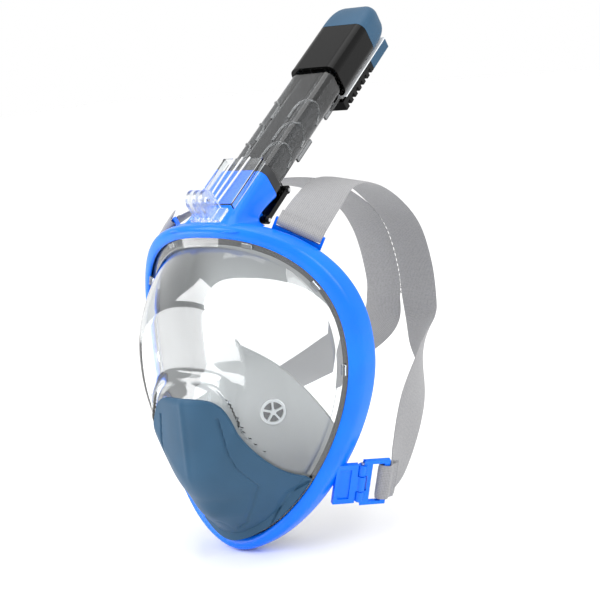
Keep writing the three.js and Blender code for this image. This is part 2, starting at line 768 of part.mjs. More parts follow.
// ---------------------------------------------------------------- head harness
// A loop that swivels on the frame's lug and holds the strap on its outer bar.
function buckleLoop() {
  const { length, height, thick } = BUCKLE;
  const plate = block(length, thick, height, LUG.length + length / 2, 0, 0);
  const knuckleMiddle = 11.2;
  const knuckles = [-1, 1].map((end) =>
    rod(BUCKLE.knuckle, BUCKLE.knuckleHeight, "z", LUG.length, 0, end * knuckleMiddle),
  );
  const room = rod(LUG.knuckle + 0.8, LUG.knuckleHeight + 1, "z", LUG.length, 0, 0);
  const slot = block(9.5, 20, height - 5.5, LUG.length + 12, 0, 0);
  const bore = rod(PIN.bore, THROUGH, "z", LUG.length, 0, 0);
  return cut(joined(plate, ...knuckles), room, slot, bore);
}
for (const [label, side] of SIDES) {
  const station = buckleStation(side);
  piece(`lower_buckle_${label}`, buckleLoop().applyMatrix4(station), bluePlastic());
  const pin = rod(PIN.radius, LUG.height + 1, "z", LUG.length, 0, 0, 16);
  piece(`lower_buckle_pin_${label}`, pin.applyMatrix4(station), steel());
}

const CLIP = { height: 114, from: 4.8, thick: 2.6, width: 39, screw: -4.9 };
const clipStation = () => frameStation(angleAt(CLIP.height), 0, 0);
function strapClip() {
  const middle = CLIP.from + CLIP.thick / 2;
  const plate = block(CLIP.width, CLIP.thick, 14, 0, middle, -1);
  const slot = block(CLIP.width - 4, 20, 4.6, 0, middle, 1.8);
  const hole = rod(1.6, 20, "y", 0, middle, CLIP.screw);
  return cut(plate, slot, hole);
}
function clipScrew() {
  const top = CLIP.from + CLIP.thick + GAP;
  const shank = rod(1.2, 7, "y", 0, top - 3, CLIP.screw, 12);
  return joined(rod(2.7, 1.5, "y", 0, top + 0.75, CLIP.screw), shank);
}
// The other side's copy of a piece, mirrored in the centre plane.
function mirrored(geometry) {
  const flipped = geometry.clone().scale(-1, 1, 1);
  flipped.setIndex(Array.from(flipped.index.array).reverse());
  return flipped;
}
const onSide = (side, geometry) => (side > 0 ? geometry : mirrored(geometry));
for (const [label, side] of SIDES) {
  const clip = strapClip().applyMatrix4(clipStation());
  const screw = clipScrew().applyMatrix4(clipStation());
  piece(`upper_strap_clip_${label}`, onSide(side, clip), bluePlastic());
  piece(`upper_strap_clip_screw_${label}`, onSide(side, screw), steel());
}

// A flat band along a smooth path. Each stop has a place and the direction of the band's width.
function webbing(stops, steps) {
  const places = stops.map((stop) => new THREE.Vector3(...stop.at));
  const path = new THREE.CatmullRomCurve3(places, false, "centripetal");
  const widths = new THREE.CatmullRomCurve3(stops.map((stop) => new THREE.Vector3(...stop.across)));
  const sections = [];
  for (let i = 0; i <= steps; i++) {
    const share = i / steps;
    const centre = path.getPoint(share);
    const along = path.getTangent(share);
    const across = widths.getPoint(share);
    const width = THREE.MathUtils.lerp(WEBBING.width, WEBBING.endWidth, eased(share, 0.65, 0.9));
    across.addScaledVector(along, -across.dot(along)).setLength(width / 2);
    const through = along.clone().cross(across).setLength(WEBBING.thick / 2);
    const corners = [
      centre.clone().add(across).add(through),
      centre.clone().sub(across).add(through),
      centre.clone().sub(across).sub(through),
      centre.clone().add(across).sub(through),
    ];
    if (i === 0) sections.push(corners.map(() => centre.clone()));
    sections.push(corners);
    if (i === steps) sections.push(corners.map(() => centre.clone()));
  }
  return skin(sections, false);
}

// Each side's strap runs from its upper clip over the crown, down the back beside the other one, to which it
// is sewn along the centre line, and forward to its lower buckle.
const clipBar = new THREE.Vector3(0, CLIP.from + 5.4, 4.5).applyMatrix4(clipStation());
const buckleBar = new THREE.Vector3(LUG.length + BUCKLE.length + 2.8, 0, 0).applyMatrix4(buckleStation(1));
const besideSeam = WEBBING.width / 2 + 0.6;
const STRAP_STOPS = [
  { at: clipBar.toArray(), across: [0.85, 0.2, -0.5] },
  { at: [52, 52, 133], across: [0.9, 0.25, -0.35] },
  { at: [38, 96, 141], across: [0.95, 0.2, -0.2] },
  { at: [24, 150, 133], across: [0.98, 0.1, -0.15] },
  { at: [besideSeam, 195, 110], across: [1, 0, 0] },
  { at: [besideSeam, 221, 84], across: [1, 0, 0] },
  { at: [besideSeam, 234, 50], across: [1, 0, 0] },
  { at: [besideSeam + 0.4, 236, 20], across: [1, 0, 0.02] },
  { at: [24, 227, -6], across: [0.85, -0.15, 0.4] },
  { at: [52, 176, -27], across: [0.4, -0.2, 0.9] },
  { at: [77, 115, -45], across: [0.25, -0.1, 0.96] },
  { at: [93, 68, -67], across: [0.3, -0.05, 0.95] },
  { at: buckleBar.toArray(), across: [0.293, -0.059, 0.954] },
];
for (const [label, side] of SIDES) {
  piece(`head_strap_${label}`, onSide(side, webbing(STRAP_STOPS, 48)), greyWebbing());
}

export default group;
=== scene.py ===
import math

import bmesh
import bpy
from bpy.props import FloatProperty, FloatVectorProperty, PointerProperty
from mathutils import Matrix, Vector


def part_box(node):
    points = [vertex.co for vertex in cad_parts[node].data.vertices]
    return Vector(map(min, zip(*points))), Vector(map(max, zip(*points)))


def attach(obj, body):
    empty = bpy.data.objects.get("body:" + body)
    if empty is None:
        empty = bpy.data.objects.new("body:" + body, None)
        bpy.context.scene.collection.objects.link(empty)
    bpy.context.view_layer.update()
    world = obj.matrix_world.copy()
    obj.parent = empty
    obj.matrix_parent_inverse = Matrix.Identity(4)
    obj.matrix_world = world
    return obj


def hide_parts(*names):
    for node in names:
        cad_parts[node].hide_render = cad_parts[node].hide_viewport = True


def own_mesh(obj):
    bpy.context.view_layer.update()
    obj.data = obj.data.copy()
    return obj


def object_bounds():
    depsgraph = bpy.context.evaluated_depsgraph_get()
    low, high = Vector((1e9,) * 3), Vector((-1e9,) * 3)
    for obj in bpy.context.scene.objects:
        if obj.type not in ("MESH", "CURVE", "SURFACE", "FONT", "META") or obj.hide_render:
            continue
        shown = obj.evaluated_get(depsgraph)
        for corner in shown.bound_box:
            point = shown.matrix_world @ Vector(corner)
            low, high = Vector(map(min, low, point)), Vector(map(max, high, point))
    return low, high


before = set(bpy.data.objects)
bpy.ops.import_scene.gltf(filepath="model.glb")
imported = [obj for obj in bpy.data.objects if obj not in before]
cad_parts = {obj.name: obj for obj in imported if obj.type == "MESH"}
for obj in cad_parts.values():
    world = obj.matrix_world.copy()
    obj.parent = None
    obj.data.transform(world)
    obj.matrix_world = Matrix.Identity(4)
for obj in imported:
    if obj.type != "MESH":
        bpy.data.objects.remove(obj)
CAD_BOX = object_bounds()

bl_info = {
    "name": "Full Face Snorkel Mask",
    "version": (1, 0, 0),
    "blender": (4, 5, 0),
    "location": "3D View > Sidebar > Snorkel Mask",
    "description": "Builds the visible pieces of a full-face snorkel mask round its frame",
    "category": "Object",
}

MM = 0.001

# ---------------------------------------------------------------- sizes read from the frame, in millimetres
GASKET_INSET = 4  # the lens gasket's outer edge lies this far inside the frame's outline
gasket_low, gasket_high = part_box("lens_gasket")
HALF_WIDTH = gasket_high.x / MM + GASKET_INSET
BROW = gasket_high.z / MM + GASKET_INSET
CHIN = gasket_low.z / MM - GASKET_INSET
WIDEST_AT = 24
RISE = BROW - WIDEST_AT
DROP = WIDEST_AT - CHIN
BROW_POWER = 2.4
CHIN_POWER = 1.75
MIDDLE_DEPTH = -11  # Y of the frame on the centre line
BEND = 0.004  # the frame bends back round the face, Y = BEND * X * X
STEPS = 192  # round the frame

# Depths through the clamped stack, measured from the bent frame surface.
LIP_BACK = -11.5
LENS_RIM = (-11.15, -8.9)
LENS_FRONT = -53
LENS_WALL = 2.4
FLANGE = 17
NOSE_RISE = 14

# The snorkel's own axes: up the tube, and back across it.
LEAN = math.radians(57)
SOCKET = Vector((0, 36, 148))
TUBE_UP = Vector((0, math.sin(LEAN), math.cos(LEAN)))
TUBE_BACK = Vector((0, math.cos(LEAN), -math.sin(LEAN)))
TUBE_HALF_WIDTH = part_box("snorkel_tube")[1].x / MM
HEAD_HALF_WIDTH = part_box("head_body")[1].x / MM


# ---------------------------------------------------------------- small mathematics
def linear(code):
    """An sRGB hex value as linear red, green, blue."""
    shares = [int(code[i : i + 2], 16) / 255 for i in (0, 2, 4)]
    return tuple(c / 12.92 if c <= 0.04045 else ((c + 0.055) / 1.055) ** 2.4 for c in shares)


def eased(value, start, end):
    share = min(1, max(0, (value - start) / (end - start)))
    return share * share * (3 - 2 * share)


def signed_power(value, power):
    return math.copysign(abs(value) ** power, value)


def snorkel_point(x, back, up):
    return SOCKET + Vector((x, 0, 0)) + TUBE_BACK * back + TUBE_UP * up


def curve_through(stops, steps):
    """Points evenly spread in number along a smooth curve through the stops."""
    points = [Vector(p) for p in stops]
    ends = [points[0] * 2 - points[1], *points, points[-1] * 2 - points[-2]]
    made = []
    for i in range(steps + 1):
        place = i / steps * (len(points) - 1)
        k = min(int(place), len(points) - 2)
        t = place - k
        a, b, c, d = ends[k : k + 4]
        made.append(
            0.5
            * (
                2 * b
                + (c - a) * t
                + (2 * a - 5 * b + 4 * c - d) * t * t
                + (3 * b - a - 3 * c + d) * t * t * t
            )
        )
    return made


def corners_cut(points, passes=2):
    """A closed outline with its corners rounded by cutting a quarter off each side."""
    for _ in range(passes):
        turned = points[1:] + points[:1]
        points = [
            tuple(a + (b - a) * share for a, b in zip(p, q))
            for p, q in zip(points, turned)
            for share in (0.25, 0.75)
        ]
    return points


def rounded_rectangle(half_width, half_depth, radius, steps=6):
    points = []
    for quarter, (sx, sy) in enumerate([(1, 1), (-1, 1), (-1, -1), (1, -1)]):
        for i in range(steps + 1):
            angle = math.pi / 2 * (quarter + i / steps)
            points.append(
                (
                    sx * (half_width - radius) + radius * math.cos(angle),
                    sy * (half_depth - radius) + radius * math.sin(angle),
                )
            )
    return points


# ---------------------------------------------------------------- the frame's surface
def outline(angle, outset):
    """Angle 0 is the brow, a quarter turn the wearer's left and half a turn the chin."""
    s, c = math.sin(angle), math.cos(angle)
    power = 2 / (BROW_POWER if c > 0 else CHIN_POWER)
    reach = (RISE if c > 0 else DROP) + outset
    return (
        (HALF_WIDTH + outset) * signed_power(s, power),
        WIDEST_AT + reach * signed_power(c, power),
    )


def frame_point(angle, outset, depth):
    x, z = outline(angle, outset)
    return Vector((x, MIDDLE_DEPTH + BEND * x * x + depth, z))


def angle_at(height):
    above = height > WIDEST_AT
    share = abs(height - WIDEST_AT) / (RISE if above else DROP)
    angle = math.acos(share ** ((BROW_POWER if above else CHIN_POWER) / 2))
    return angle if above else math.pi - angle


def ring_angles():
    return [2 * math.pi * i / STEPS for i in range(STEPS)]


def lens_depth(x, z):
    """Y of the lens: a flat front panel, side panels that run back to the border, and a nose bulge."""
    flat_share = 0.56
    above = z > WIDEST_AT
    power = BROW_POWER if above else CHIN_POWER
    reach = (RISE if above else DROP) - FLANGE
    across = (abs(x) / (HALF_WIDTH - FLANGE)) ** power
    share = (across + (abs(z - WIDEST_AT) / reach) ** power) ** (1 / power)
    edge = x / max(share, 1e-6) if share < 1 else x
    border = MIDDLE_DEPTH + BEND * edge * edge + LENS_RIM[0]
    if share >= 1:
        return border
    slope = max(0, (share - flat_share) / (1 - flat_share)) ** 1.5
    nose = math.exp(-((x / 30) ** 2)) * eased(z, 26, 4) * eased(z, -112, -50)
    return LENS_FRONT + (border - LENS_FRONT) * slope - NOSE_RISE * nose


def cover_top(x):
    """The cover's upper edge: level over the nose and steep on both sides."""
    return 9 - 75 / (1 + math.exp((43 - abs(x)) / 6))


def cover_depth(x, z):
    room = 6 * math.exp(-((x / 26) ** 2)) * eased(z, -70, -88)
    return lens_depth(x, z) - 4.2 - room


def chin_line(x, inset):
    share = min(1, abs(x) / (HALF_WIDTH - inset)) ** CHIN_POWER
    return WIDEST_AT - (DROP - inset) * (1 - share) ** (1 / CHIN_POWER)


def pocket_top(x):
    return 62 - math.hypot(22, 1.2 * x)


def pocket_depth(x, z):
    nose = 32 * math.exp(-((x / 30) ** 2)) * (1 + 0.45 * eased(z, 20, -25))
    return 14 - nose * (0.35 + 0.65 * eased(z, -105, -40)) - 14 * eased(z, -55, -105)


# ---------------------------------------------------------------- mesh building
def mesh_piece(name, points, faces, material, sharp=32):
    """A new object from points in millimetres, smooth but for edges sharper than the given degrees."""
    mesh = bpy.data.meshes.new(name)
    mesh.from_pydata([tuple(Vector(p) * MM) for p in points], [], faces)
    build = bmesh.new()
    build.from_mesh(mesh)
    bmesh.ops.remove_doubles(build, verts=build.verts, dist=0.002 * MM)
    bmesh.ops.dissolve_degenerate(build, edges=build.edges, dist=0.002 * MM)
    bmesh.ops.recalc_face_normals(build, faces=build.faces)
    build.to_mesh(mesh)
    build.free()
    mesh.materials.append(material)
    smooth(mesh, sharp)
    made = bpy.data.objects.new(name, mesh)
    bpy.context.scene.collection.objects.link(made)
    return made


def smooth(mesh, sharp):
    mesh.shade_smooth()
    mesh.set_sharp_from_angle(angle=math.radians(sharp))


def grid_skin(sections, ring=False):
    """Points and faces of a skin over closed sections. It is capped at both ends unless it is a ring."""
    count = len(sections[0])
    points = [p for section in sections for p in section]
    faces = []
    for i in range(len(sections) if ring else len(sections) - 1):
        here, after = i * count, (i + 1) % len(sections) * count
        for j in range(count):
            k = (j + 1) % count
            faces.append((here + j, after + j, after + k, here + k))
    if not ring:
        faces.append(tuple(range(count)))
        faces.append(tuple(range(len(points) - count, len(points))))
    return points, faces


def swept_ring(name, section_at, material, sharp=32):
    """A ring round the frame with a section of (outset, depth) points for each angle."""
    sections = [[frame_point(a, o, d) for o, d in section_at(a)] for a in ring_angles()]
    return mesh_piece(name, *grid_skin(sections, ring=True), material, sharp)


def apron(name, half, columns, rows, low, high, depth_at, wall, material):
    """A shell between a lower and an upper edge, column by column, that thins out at both ends."""
    sections = []
    for i in range(columns + 1):
        x = half * math.sin(math.pi / 2 * (2 * i / columns - 1))
        thick = wall * min(1, 0.15 + 6 * min(i, columns - i) / columns) if 0 < i < columns else 0.05
        front = []
        for j in range(rows + 1):
            z = low(x) + (high(x) - low(x)) * j / rows
            front.append(Vector((x, depth_at(x, z), z)))
        back = [p + Vector((0, thick, 0)) for p in reversed(front)]
        sections.append(front + back)
    return mesh_piece(name, *grid_skin(sections), material)


def snorkel_loft(name, sections, material, sharp=32):
    """A loft up the snorkel. Each section is (height up the tube, outline of (x, back) points)."""
    placed = [[snorkel_point(x, back, up) for x, back in points] for up, points in sections]
    return mesh_piece(name, *grid_skin(placed), material, sharp)


def thread(name, stops, radius, material, sides=8, steps=24):
    """A round rod along a smooth curve."""
    path = curve_through(stops, steps)
    sections = []
    side = Vector((1, 0, 0))
    for i, centre in enumerate(path):
        along = (path[min(i + 1, steps)] - path[max(i - 1, 0)]).normalized()
        if abs(side.dot(along)) > 0.95:
            side = Vector((0, 0, 1))
        side = (side - along * side.dot(along)).normalized()
        up = along.cross(side)
        ring = []
        for k in range(sides):
            turn = 2 * math.pi * k / sides
            ring.append(centre + side * (radius * math.cos(turn)) + up * (radius * math.sin(turn)))
        sections.append(ring)
    return mesh_piece(name, *grid_skin(sections), material, 60)


def box_piece(name, size, place, material):
    """A block of a size in millimetres at a placing matrix in millimetres."""
    w, d, h = (s / 2 for s in size)
    points = [Vector((x, y, z)) for x in (-w, w) for y in (-d, d) for z in (-h, h)]
    faces = [(0, 1, 3, 2), (4, 6, 7, 5), (0, 4, 5, 1), (2, 3, 7, 6), (0, 2, 6, 4), (1, 5, 7, 3)]
    return mesh_piece(name, [place @ p for p in points], faces, material)


def rod_piece(name, radius, length, place, material, sides=40):
    """A rod along the placing matrix's X."""
    sections = []
    for x in (-length / 2, length / 2):
        turns = [2 * math.pi * k / sides for k in range(sides)]
        sections.append([place @ Vector((x, radius * math.cos(t), radius * math.sin(t))) for t in turns])
    return mesh_piece(name, *grid_skin(sections), material)


def combined(target, tool, operation, sharp=32):
    """Joins a tool to a piece or cuts it away, and removes the tool."""
    step = target.modifiers.new("combine", "BOOLEAN")
    step.operation = operation
    step.solver = "EXACT"
    step.object = tool
    bpy.context.view_layer.update()
    evaluated = target.evaluated_get(bpy.context.evaluated_depsgraph_get())
    mesh = bpy.data.meshes.new_from_object(evaluated)
    target.modifiers.clear()
    target.data = mesh
    smooth(mesh, sharp)
    bpy.data.objects.remove(tool)
    if not mesh.polygons:
        raise RuntimeError(f"{target.name} has no surface left after a cut")
    return target


def joined_piece(name, parts):
    """Several meshes as one object."""
    build = bmesh.new()
    for part in parts:
        build.from_mesh(part.data)
    material = parts[0].data.materials[0]
    mesh = bpy.data.meshes.new(name)
    build.to_mesh(mesh)
    build.free()
    mesh.materials.append(material)
    smooth(mesh, 40)
    for part in parts:
        bpy.data.objects.remove(part)
    made = bpy.data.objects.new(name, mesh)
    bpy.context.scene.collection.objects.link(made)
    return made


def stands_for(piece, slot, body, *nodes):
    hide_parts(*nodes)
    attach(piece, body)
    return piece


def finish_nodes(material, rounding, *names):
    """Gives frame nodes a finish and rounds their edges by a width in millimetres."""
    for name in names:
        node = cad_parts[name]
        node.data.materials.clear()
        node.data.materials.append(material)
        smooth(node.data, 30)
        flat = node.modifiers.new("flat faces", "DECIMATE")
        flat.decimate_type = "DISSOLVE"
        flat.angle_limit = math.radians(2)
        if rounding:
            edge = node.modifiers.new("rounded edges", "BEVEL")
            edge.width = rounding * MM
            edge.segments = 3
            edge.limit_method = "ANGLE"
            edge.angle_limit = math.radians(35)
            edge.harden_normals = False


# ---------------------------------------------------------------- materials
def add_node(material, kind, settings=None, values=None, links=None):
    """Adds a node with its settings, its sockets' values and its links."""
    node = material.node_tree.nodes.new(kind)
    for key, value in (settings or {}).items():
        setattr(node, key, value)
    for key, value in (values or {}).items():
        node.inputs[key].default_value = value
    for key, source in (links or {}).items():
        material.node_tree.links.new(source, node.inputs[key])
    return node


def new_material(name):
    """An empty material, and the object's own coordinates that its patterns lie in."""
    material = bpy.data.materials.new(name)
    material.use_nodes = True
    material.node_tree.nodes.clear()
    return material, add_node(material, "ShaderNodeTexCoord").outputs["Object"]


def set_surface(material, shader):
    output = add_node(material, "ShaderNodeOutputMaterial")
    material.node_tree.links.new(shader, output.inputs["Surface"])
    return material


def set_ramp(ramp, low, high, start=0.0, end=1.0):
    """Gives a colour ramp its low and high colours and the values that they start and end at."""
    for element, colour, position in zip(ramp.color_ramp.elements, (low, high), (start, end)):
        element.position = position
        element.color = (*colour, 1)


def per_mm(size):
    """A noise scale whose features are about this many millimetres."""
    return 1 / (size * MM)


def moulded_abs(name, colour, shade, roughness, grain, depth, shine=0.5):
    """Injection-moulded ABS: an even colour, faintly cloudy, with the mould's grain in its gloss."""
    material, place = new_material(name)
    cloud = add_node(
        material,
        "ShaderNodeTexNoise",
        values={"Scale": per_mm(38), "Detail": 3},
        links={"Vector": place},
    )
    tint = add_node(material, "ShaderNodeValToRGB", links={"Fac": cloud.outputs["Fac"]})
    set_ramp(tint, shade, colour, 0.3, 0.7)
    mould = add_node(
        material,
        "ShaderNodeTexNoise",
        values={"Scale": per_mm(grain), "Detail": 2},
        links={"Vector": place},
    )
    gloss = add_node(
        material,
        "ShaderNodeMapRange",
        values={"To Min": roughness * 0.8, "To Max": roughness * 1.25},
        links={"Value": mould.outputs["Fac"]},
    )
    bump = add_node(
        material,
        "ShaderNodeBump",
        values={"Strength": depth, "Distance": 0.05 * MM},
        links={"Height": mould.outputs["Fac"]},
    )
    surface = add_node(
        material,
        "ShaderNodeBsdfPrincipled",
        values={"IOR": 1.52, "Specular IOR Level": shine},
        links={
            "Base Color": tint.outputs["Color"],
            "Roughness": gloss.outputs["Result"],
            "Normal": bump.outputs["Normal"],
        },
    )
    return set_surface(material, surface.outputs["BSDF"])


def clear_polycarbonate(name, tint, roughness):
    """Polished polycarbonate: clear, with hard reflections and a slight ripple from moulding."""
    material, place = new_material(name)
    flow = add_node(
        material,
        "ShaderNodeTexNoise",
        values={"Scale": per_mm(22), "Detail": 1},
        links={"Vector": place},
    )
    bump = add_node(
        material,
        "ShaderNodeBump",
        values={"Strength": 0.06, "Distance": 0.4 * MM},
        links={"Height": flow.outputs["Fac"]},
    )
    gloss = add_node(
        material,
        "ShaderNodeMapRange",
        values={"To Min": roughness, "To Max": roughness + 0.02},
        links={"Value": flow.outputs["Fac"]},
    )
    glass = add_node(
        material,
        "ShaderNodeBsdfPrincipled",
        values={"Base Color": (*tint, 1), "IOR": 1.585, "Transmission Weight": 1.0},
        links={"Roughness": gloss.outputs["Result"], "Normal": bump.outputs["Normal"]},
    )
    # Lamps reach what is behind the clear walls.
    through = add_node(material, "ShaderNodeBsdfTransparent", values={"Color": (*tint, 1)})
    ray = add_node(material, "ShaderNodeLightPath")
    mix = add_node(
        material,
        "ShaderNodeMixShader",
        links={0: ray.outputs["Is Shadow Ray"], 1: glass.outputs["BSDF"]},
    )
    material.node_tree.links.new(through.outputs["BSDF"], mix.inputs[2])
    return set_surface(material, mix.outputs["Shader"])


def satin_silicone(name, colour):
    """Liquid silicone from a satin mould: soft-edged light, a little of which goes into it."""
    material, place = new_material(name)
    cloud = add_node(
        material,
        "ShaderNodeTexNoise",
        values={"Scale": per_mm(30), "Detail": 3},
        links={"Vector": place},
    )
    tint = add_node(material, "ShaderNodeValToRGB", links={"Fac": cloud.outputs["Fac"]})
    set_ramp(tint, [c * 0.86 for c in colour], [min(1, c * 1.1) for c in colour])
    dust = add_node(
        material,
        "ShaderNodeTexNoise",
        values={"Scale": per_mm(0.9), "Detail": 3},
        links={"Vector": place},
    )
    gloss = add_node(
        material,
        "ShaderNodeMapRange",
        values={"To Min": 0.36, "To Max": 0.5},
        links={"Value": dust.outputs["Fac"]},
    )
    bump = add_node(
        material,
        "ShaderNodeBump",
        values={"Strength": 0.1, "Distance": 0.05 * MM},
        links={"Height": dust.outputs["Fac"]},
    )
    surface = add_node(
        material,
        "ShaderNodeBsdfPrincipled",
        values={"IOR": 1.41, "Subsurface Weight": 0.15, "Subsurface Scale": 2 * MM, "Sheen Weight": 0.1},
        links={
            "Base Color": tint.outputs["Color"],
            "Roughness": gloss.outputs["Result"],
            "Normal": bump.outputs["Normal"],
        },
    )
    return set_surface(material, surface.outputs["BSDF"])


def moulded_rubber(name, colour):
    """Moulded nitrile rubber: near black, dull, with a dusty bloom."""
    material, place = new_material(name)
    bloom = add_node(
        material,
        "ShaderNodeTexNoise",
        values={"Scale": per_mm(3), "Detail": 4},
        links={"Vector": place},
    )
    tint = add_node(material, "ShaderNodeValToRGB", links={"Fac": bloom.outputs["Fac"]})
    set_ramp(tint, colour, [c * 2.2 for c in colour])
    gloss = add_node(
        material,
        "ShaderNodeMapRange",
        values={"To Min": 0.5, "To Max": 0.7},
        links={"Value": bloom.outputs["Fac"]},
    )
    surface = add_node(
        material,
        "ShaderNodeBsdfPrincipled",
        values={"IOR": 1.52},
        links={"Base Color": tint.outputs["Color"], "Roughness": gloss.outputs["Result"]},
    )
    return set_surface(material, surface.outputs["BSDF"])


def turned_steel(name, colour):
    """Turned stainless steel: bright, with fine rings left by the tool."""
    material, place = new_material(name)
    rings = add_node(
        material,
        "ShaderNodeTexNoise",
        values={"Scale": per_mm(0.4), "Detail": 2},
        links={"Vector": place},
    )
    gloss = add_node(
        material,
        "ShaderNodeMapRange",
        values={"To Min": 0.2, "To Max": 0.34},
        links={"Value": rings.outputs["Fac"]},
    )
    bump = add_node(
        material,
        "ShaderNodeBump",
        values={"Strength": 0.1, "Distance": 0.02 * MM},
        links={"Height": rings.outputs["Fac"]},
    )
    surface = add_node(
        material,
        "ShaderNodeBsdfPrincipled",
        values={"Base Color": (*colour, 1), "Metallic": 1.0},
        links={"Roughness": gloss.outputs["Result"], "Normal": bump.outputs["Normal"]},
    )
    return set_surface(material, surface.outputs["BSDF"])


def woven_elastic(name, colour, thread_mm):
    """Woven polyester elastic: fine cross ribs and lengthwise warp, matt with a soft sheen.
    Its threads are about 0.5 mm apart, and are drawn about twice as coarse so that they show."""
    material, place = new_material(name)
    cloth = add_node(material, "ShaderNodeUVMap", settings={"uv_map": "weave"}).outputs["UV"]
    wave_period = 2 * math.pi / 20  # of a wave texture whose scale is 1
    ribs = add_node(
        material,
        "ShaderNodeTexWave",
        settings={"bands_direction": "Y"},
        values={"Scale": wave_period / (thread_mm * MM), "Distortion": 0.6, "Detail": 1},
        links={"Vector": cloth},
    )
    warp = add_node(
        material,
        "ShaderNodeTexWave",
        settings={"bands_direction": "X"},
        values={"Scale": wave_period / (thread_mm * 1.3 * MM), "Distortion": 0.4, "Detail": 1},
        links={"Vector": cloth},
    )
    weave = add_node(
        material,
        "ShaderNodeMath",
        settings={"operation": "MULTIPLY"},
        links={0: ribs.outputs["Fac"], 1: warp.outputs["Fac"]},
    )
    fuzz = add_node(
        material,
        "ShaderNodeTexNoise",
        values={"Scale": per_mm(1.4), "Detail": 4},
        links={"Vector": place},
    )
    height = add_node(
        material,
        "ShaderNodeMath",
        settings={"operation": "ADD"},
        links={0: weave.outputs["Value"], 1: fuzz.outputs["Fac"]},
    )
    tint = add_node(material, "ShaderNodeValToRGB", links={"Fac": height.outputs["Value"]})
    set_ramp(tint, [c * 0.7 for c in colour], [min(1, c * 1.15) for c in colour], 0.25)
    bump = add_node(
        material,
        "ShaderNodeBump",
        values={"Strength": 0.5, "Distance": 0.2 * MM},
        links={"Height": height.outputs["Value"]},
    )
    surface = add_node(
        material,
        "ShaderNodeBsdfPrincipled",
        values={"Roughness": 0.85, "Sheen Weight": 0.25, "Sheen Roughness": 0.4},
        links={"Base Color": tint.outputs["Color"], "Normal": bump.outputs["Normal"]},
    )
    return set_surface(material, surface.outputs["BSDF"])


def matt_studio_paper(name, colour):
    """Pale background paper, faintly uneven."""
    material, place = new_material(name)
    cloud = add_node(material, "ShaderNodeTexNoise", values={"Scale": per_mm(300)}, links={"Vector": place})
    gloss = add_node(
        material,
        "ShaderNodeMapRange",
        values={"To Min": 0.16, "To Max": 0.22},
        links={"Value": cloud.outputs["Fac"]},
    )
    surface = add_node(
        material,
        "ShaderNodeBsdfPrincipled",
        values={"Base Color": (*colour, 1), "Specular IOR Level": 0.35},
        links={"Roughness": gloss.outputs["Result"]},
    )
    return set_surface(material, surface.outputs["BSDF"])


def finish(name):
    """The finish of that name, made the first time that it is asked for."""
    if name in bpy.data.materials:
        return bpy.data.materials[name]
    colours = bpy.context.scene.mask_colours
    sizes = bpy.context.scene.mask_sizes
    makers = {
        "satin_blue_abs": lambda: moulded_abs(name, colours.blue, colours.blue_shade, 0.24, 0.5, 0.05, 0.28),
        "matt_navy_abs": lambda: moulded_abs(name, colours.navy, colours.navy_shade, 0.46, 0.35, 0.35, 0.25),
        "gloss_black_abs": lambda: moulded_abs(name, colours.black, colours.black, 0.2, 0.6, 0.05, 0.16),
        "clear_polycarbonate": lambda: clear_polycarbonate(name, colours.clear, 0.01),
        "smoked_polycarbonate": lambda: clear_polycarbonate(name, colours.smoke, 0.04),
        "milky_polycarbonate": lambda: moulded_abs(name, colours.milky, colours.milky, 0.3, 0.6, 0.05),
        "clear_silicone": lambda: clear_polycarbonate(name, colours.clear, 0.3),
        "grey_silicone": lambda: satin_silicone(name, colours.silicone),
        # The valve flaps' silicone is darkened as painted shade, so the gaps between the seat's spokes read
        # dark.
        "flap_silicone_painted_shade": lambda: satin_silicone(name, colours.flap),
        "frosted_polycarbonate": lambda: clear_polycarbonate(name, colours.clear, 0.22),
        "black_nitrile_rubber": lambda: moulded_rubber(name, colours.rubber),
        "turned_stainless_steel": lambda: turned_steel(name, colours.steel),
        "woven_grey_elastic": lambda: woven_elastic(name, colours.webbing, sizes.thread_spacing / MM),
        "studio_paper": lambda: matt_studio_paper(name, colours.paper),
    }
    return makers[name]()


# ---------------------------------------------------------------- settings
def length_property(label, use, size):
    """A length that is given in millimetres and kept in metres."""
    return FloatProperty(name=label, description=use, default=size * MM, subtype="DISTANCE", unit="LENGTH")


class MaskSizes(bpy.types.PropertyGroup):
    webbing_width: length_property("Webbing width", "Width of the head straps", 35)
    webbing_end_width: length_property("Webbing end width", "Width of the straps at the lower buckles", 29)
    webbing_thickness: length_property("Webbing thickness", "Thickness of the head straps", 1.6)
    thread_spacing: length_property("Thread spacing", "Distance between the webbing's drawn threads", 1.1)
    edge_rounding: length_property("Edge rounding", "Rounding on small moulded pieces", 0.45)
    groove_depth: length_property("Groove depth", "Depth of the lines pressed into the chin cover", 1.5)


def colour_property(label, use, code):
    """A colour that is given as an sRGB hex value."""
    return FloatVectorProperty(
        name=label,
        description=use,
        default=linear(code),
        size=3,
        min=0,
        max=1,
        subtype="COLOR",
    )


class MaskColours(bpy.types.PropertyGroup):
    blue: colour_property("Blue", "Frame, buckles and clips", "0076FF")
    blue_shade: colour_property("Blue shade", "The blue's darker clouds", "006CF4")
    navy: colour_property("Navy", "Chin cover and cap", "2F536F")
    navy_shade: colour_property("Navy shade", "The navy's darker clouds", "294B65")
    black: colour_property("Black", "Snorkel head and link", "030303")
    clear: colour_property("Clear", "Lens, clips and camera mount", "F6F9FA")
    milky: colour_property("Milky", "Valve seats", "DADBDC")
    smoke: colour_property("Smoke", "Snorkel tube", "8C8E90")
    silicone: colour_property("Silicone", "Face skirt and nose pocket", "A0A1A3")
    # Valve flaps: darkened as painted shade, so the gaps between the seat's spokes read dark.
    flap: colour_property("Flap", "Valve flaps", "4C4D4F")
    rubber: colour_property("Rubber", "Gaskets", "17181A")
    steel: colour_property("Steel", "Pins and screws", "C9CACC")
    webbing: colour_property("Webbing", "Head straps", "929294")
    paper: colour_property("Paper", "Studio floor", "FFFFFF")


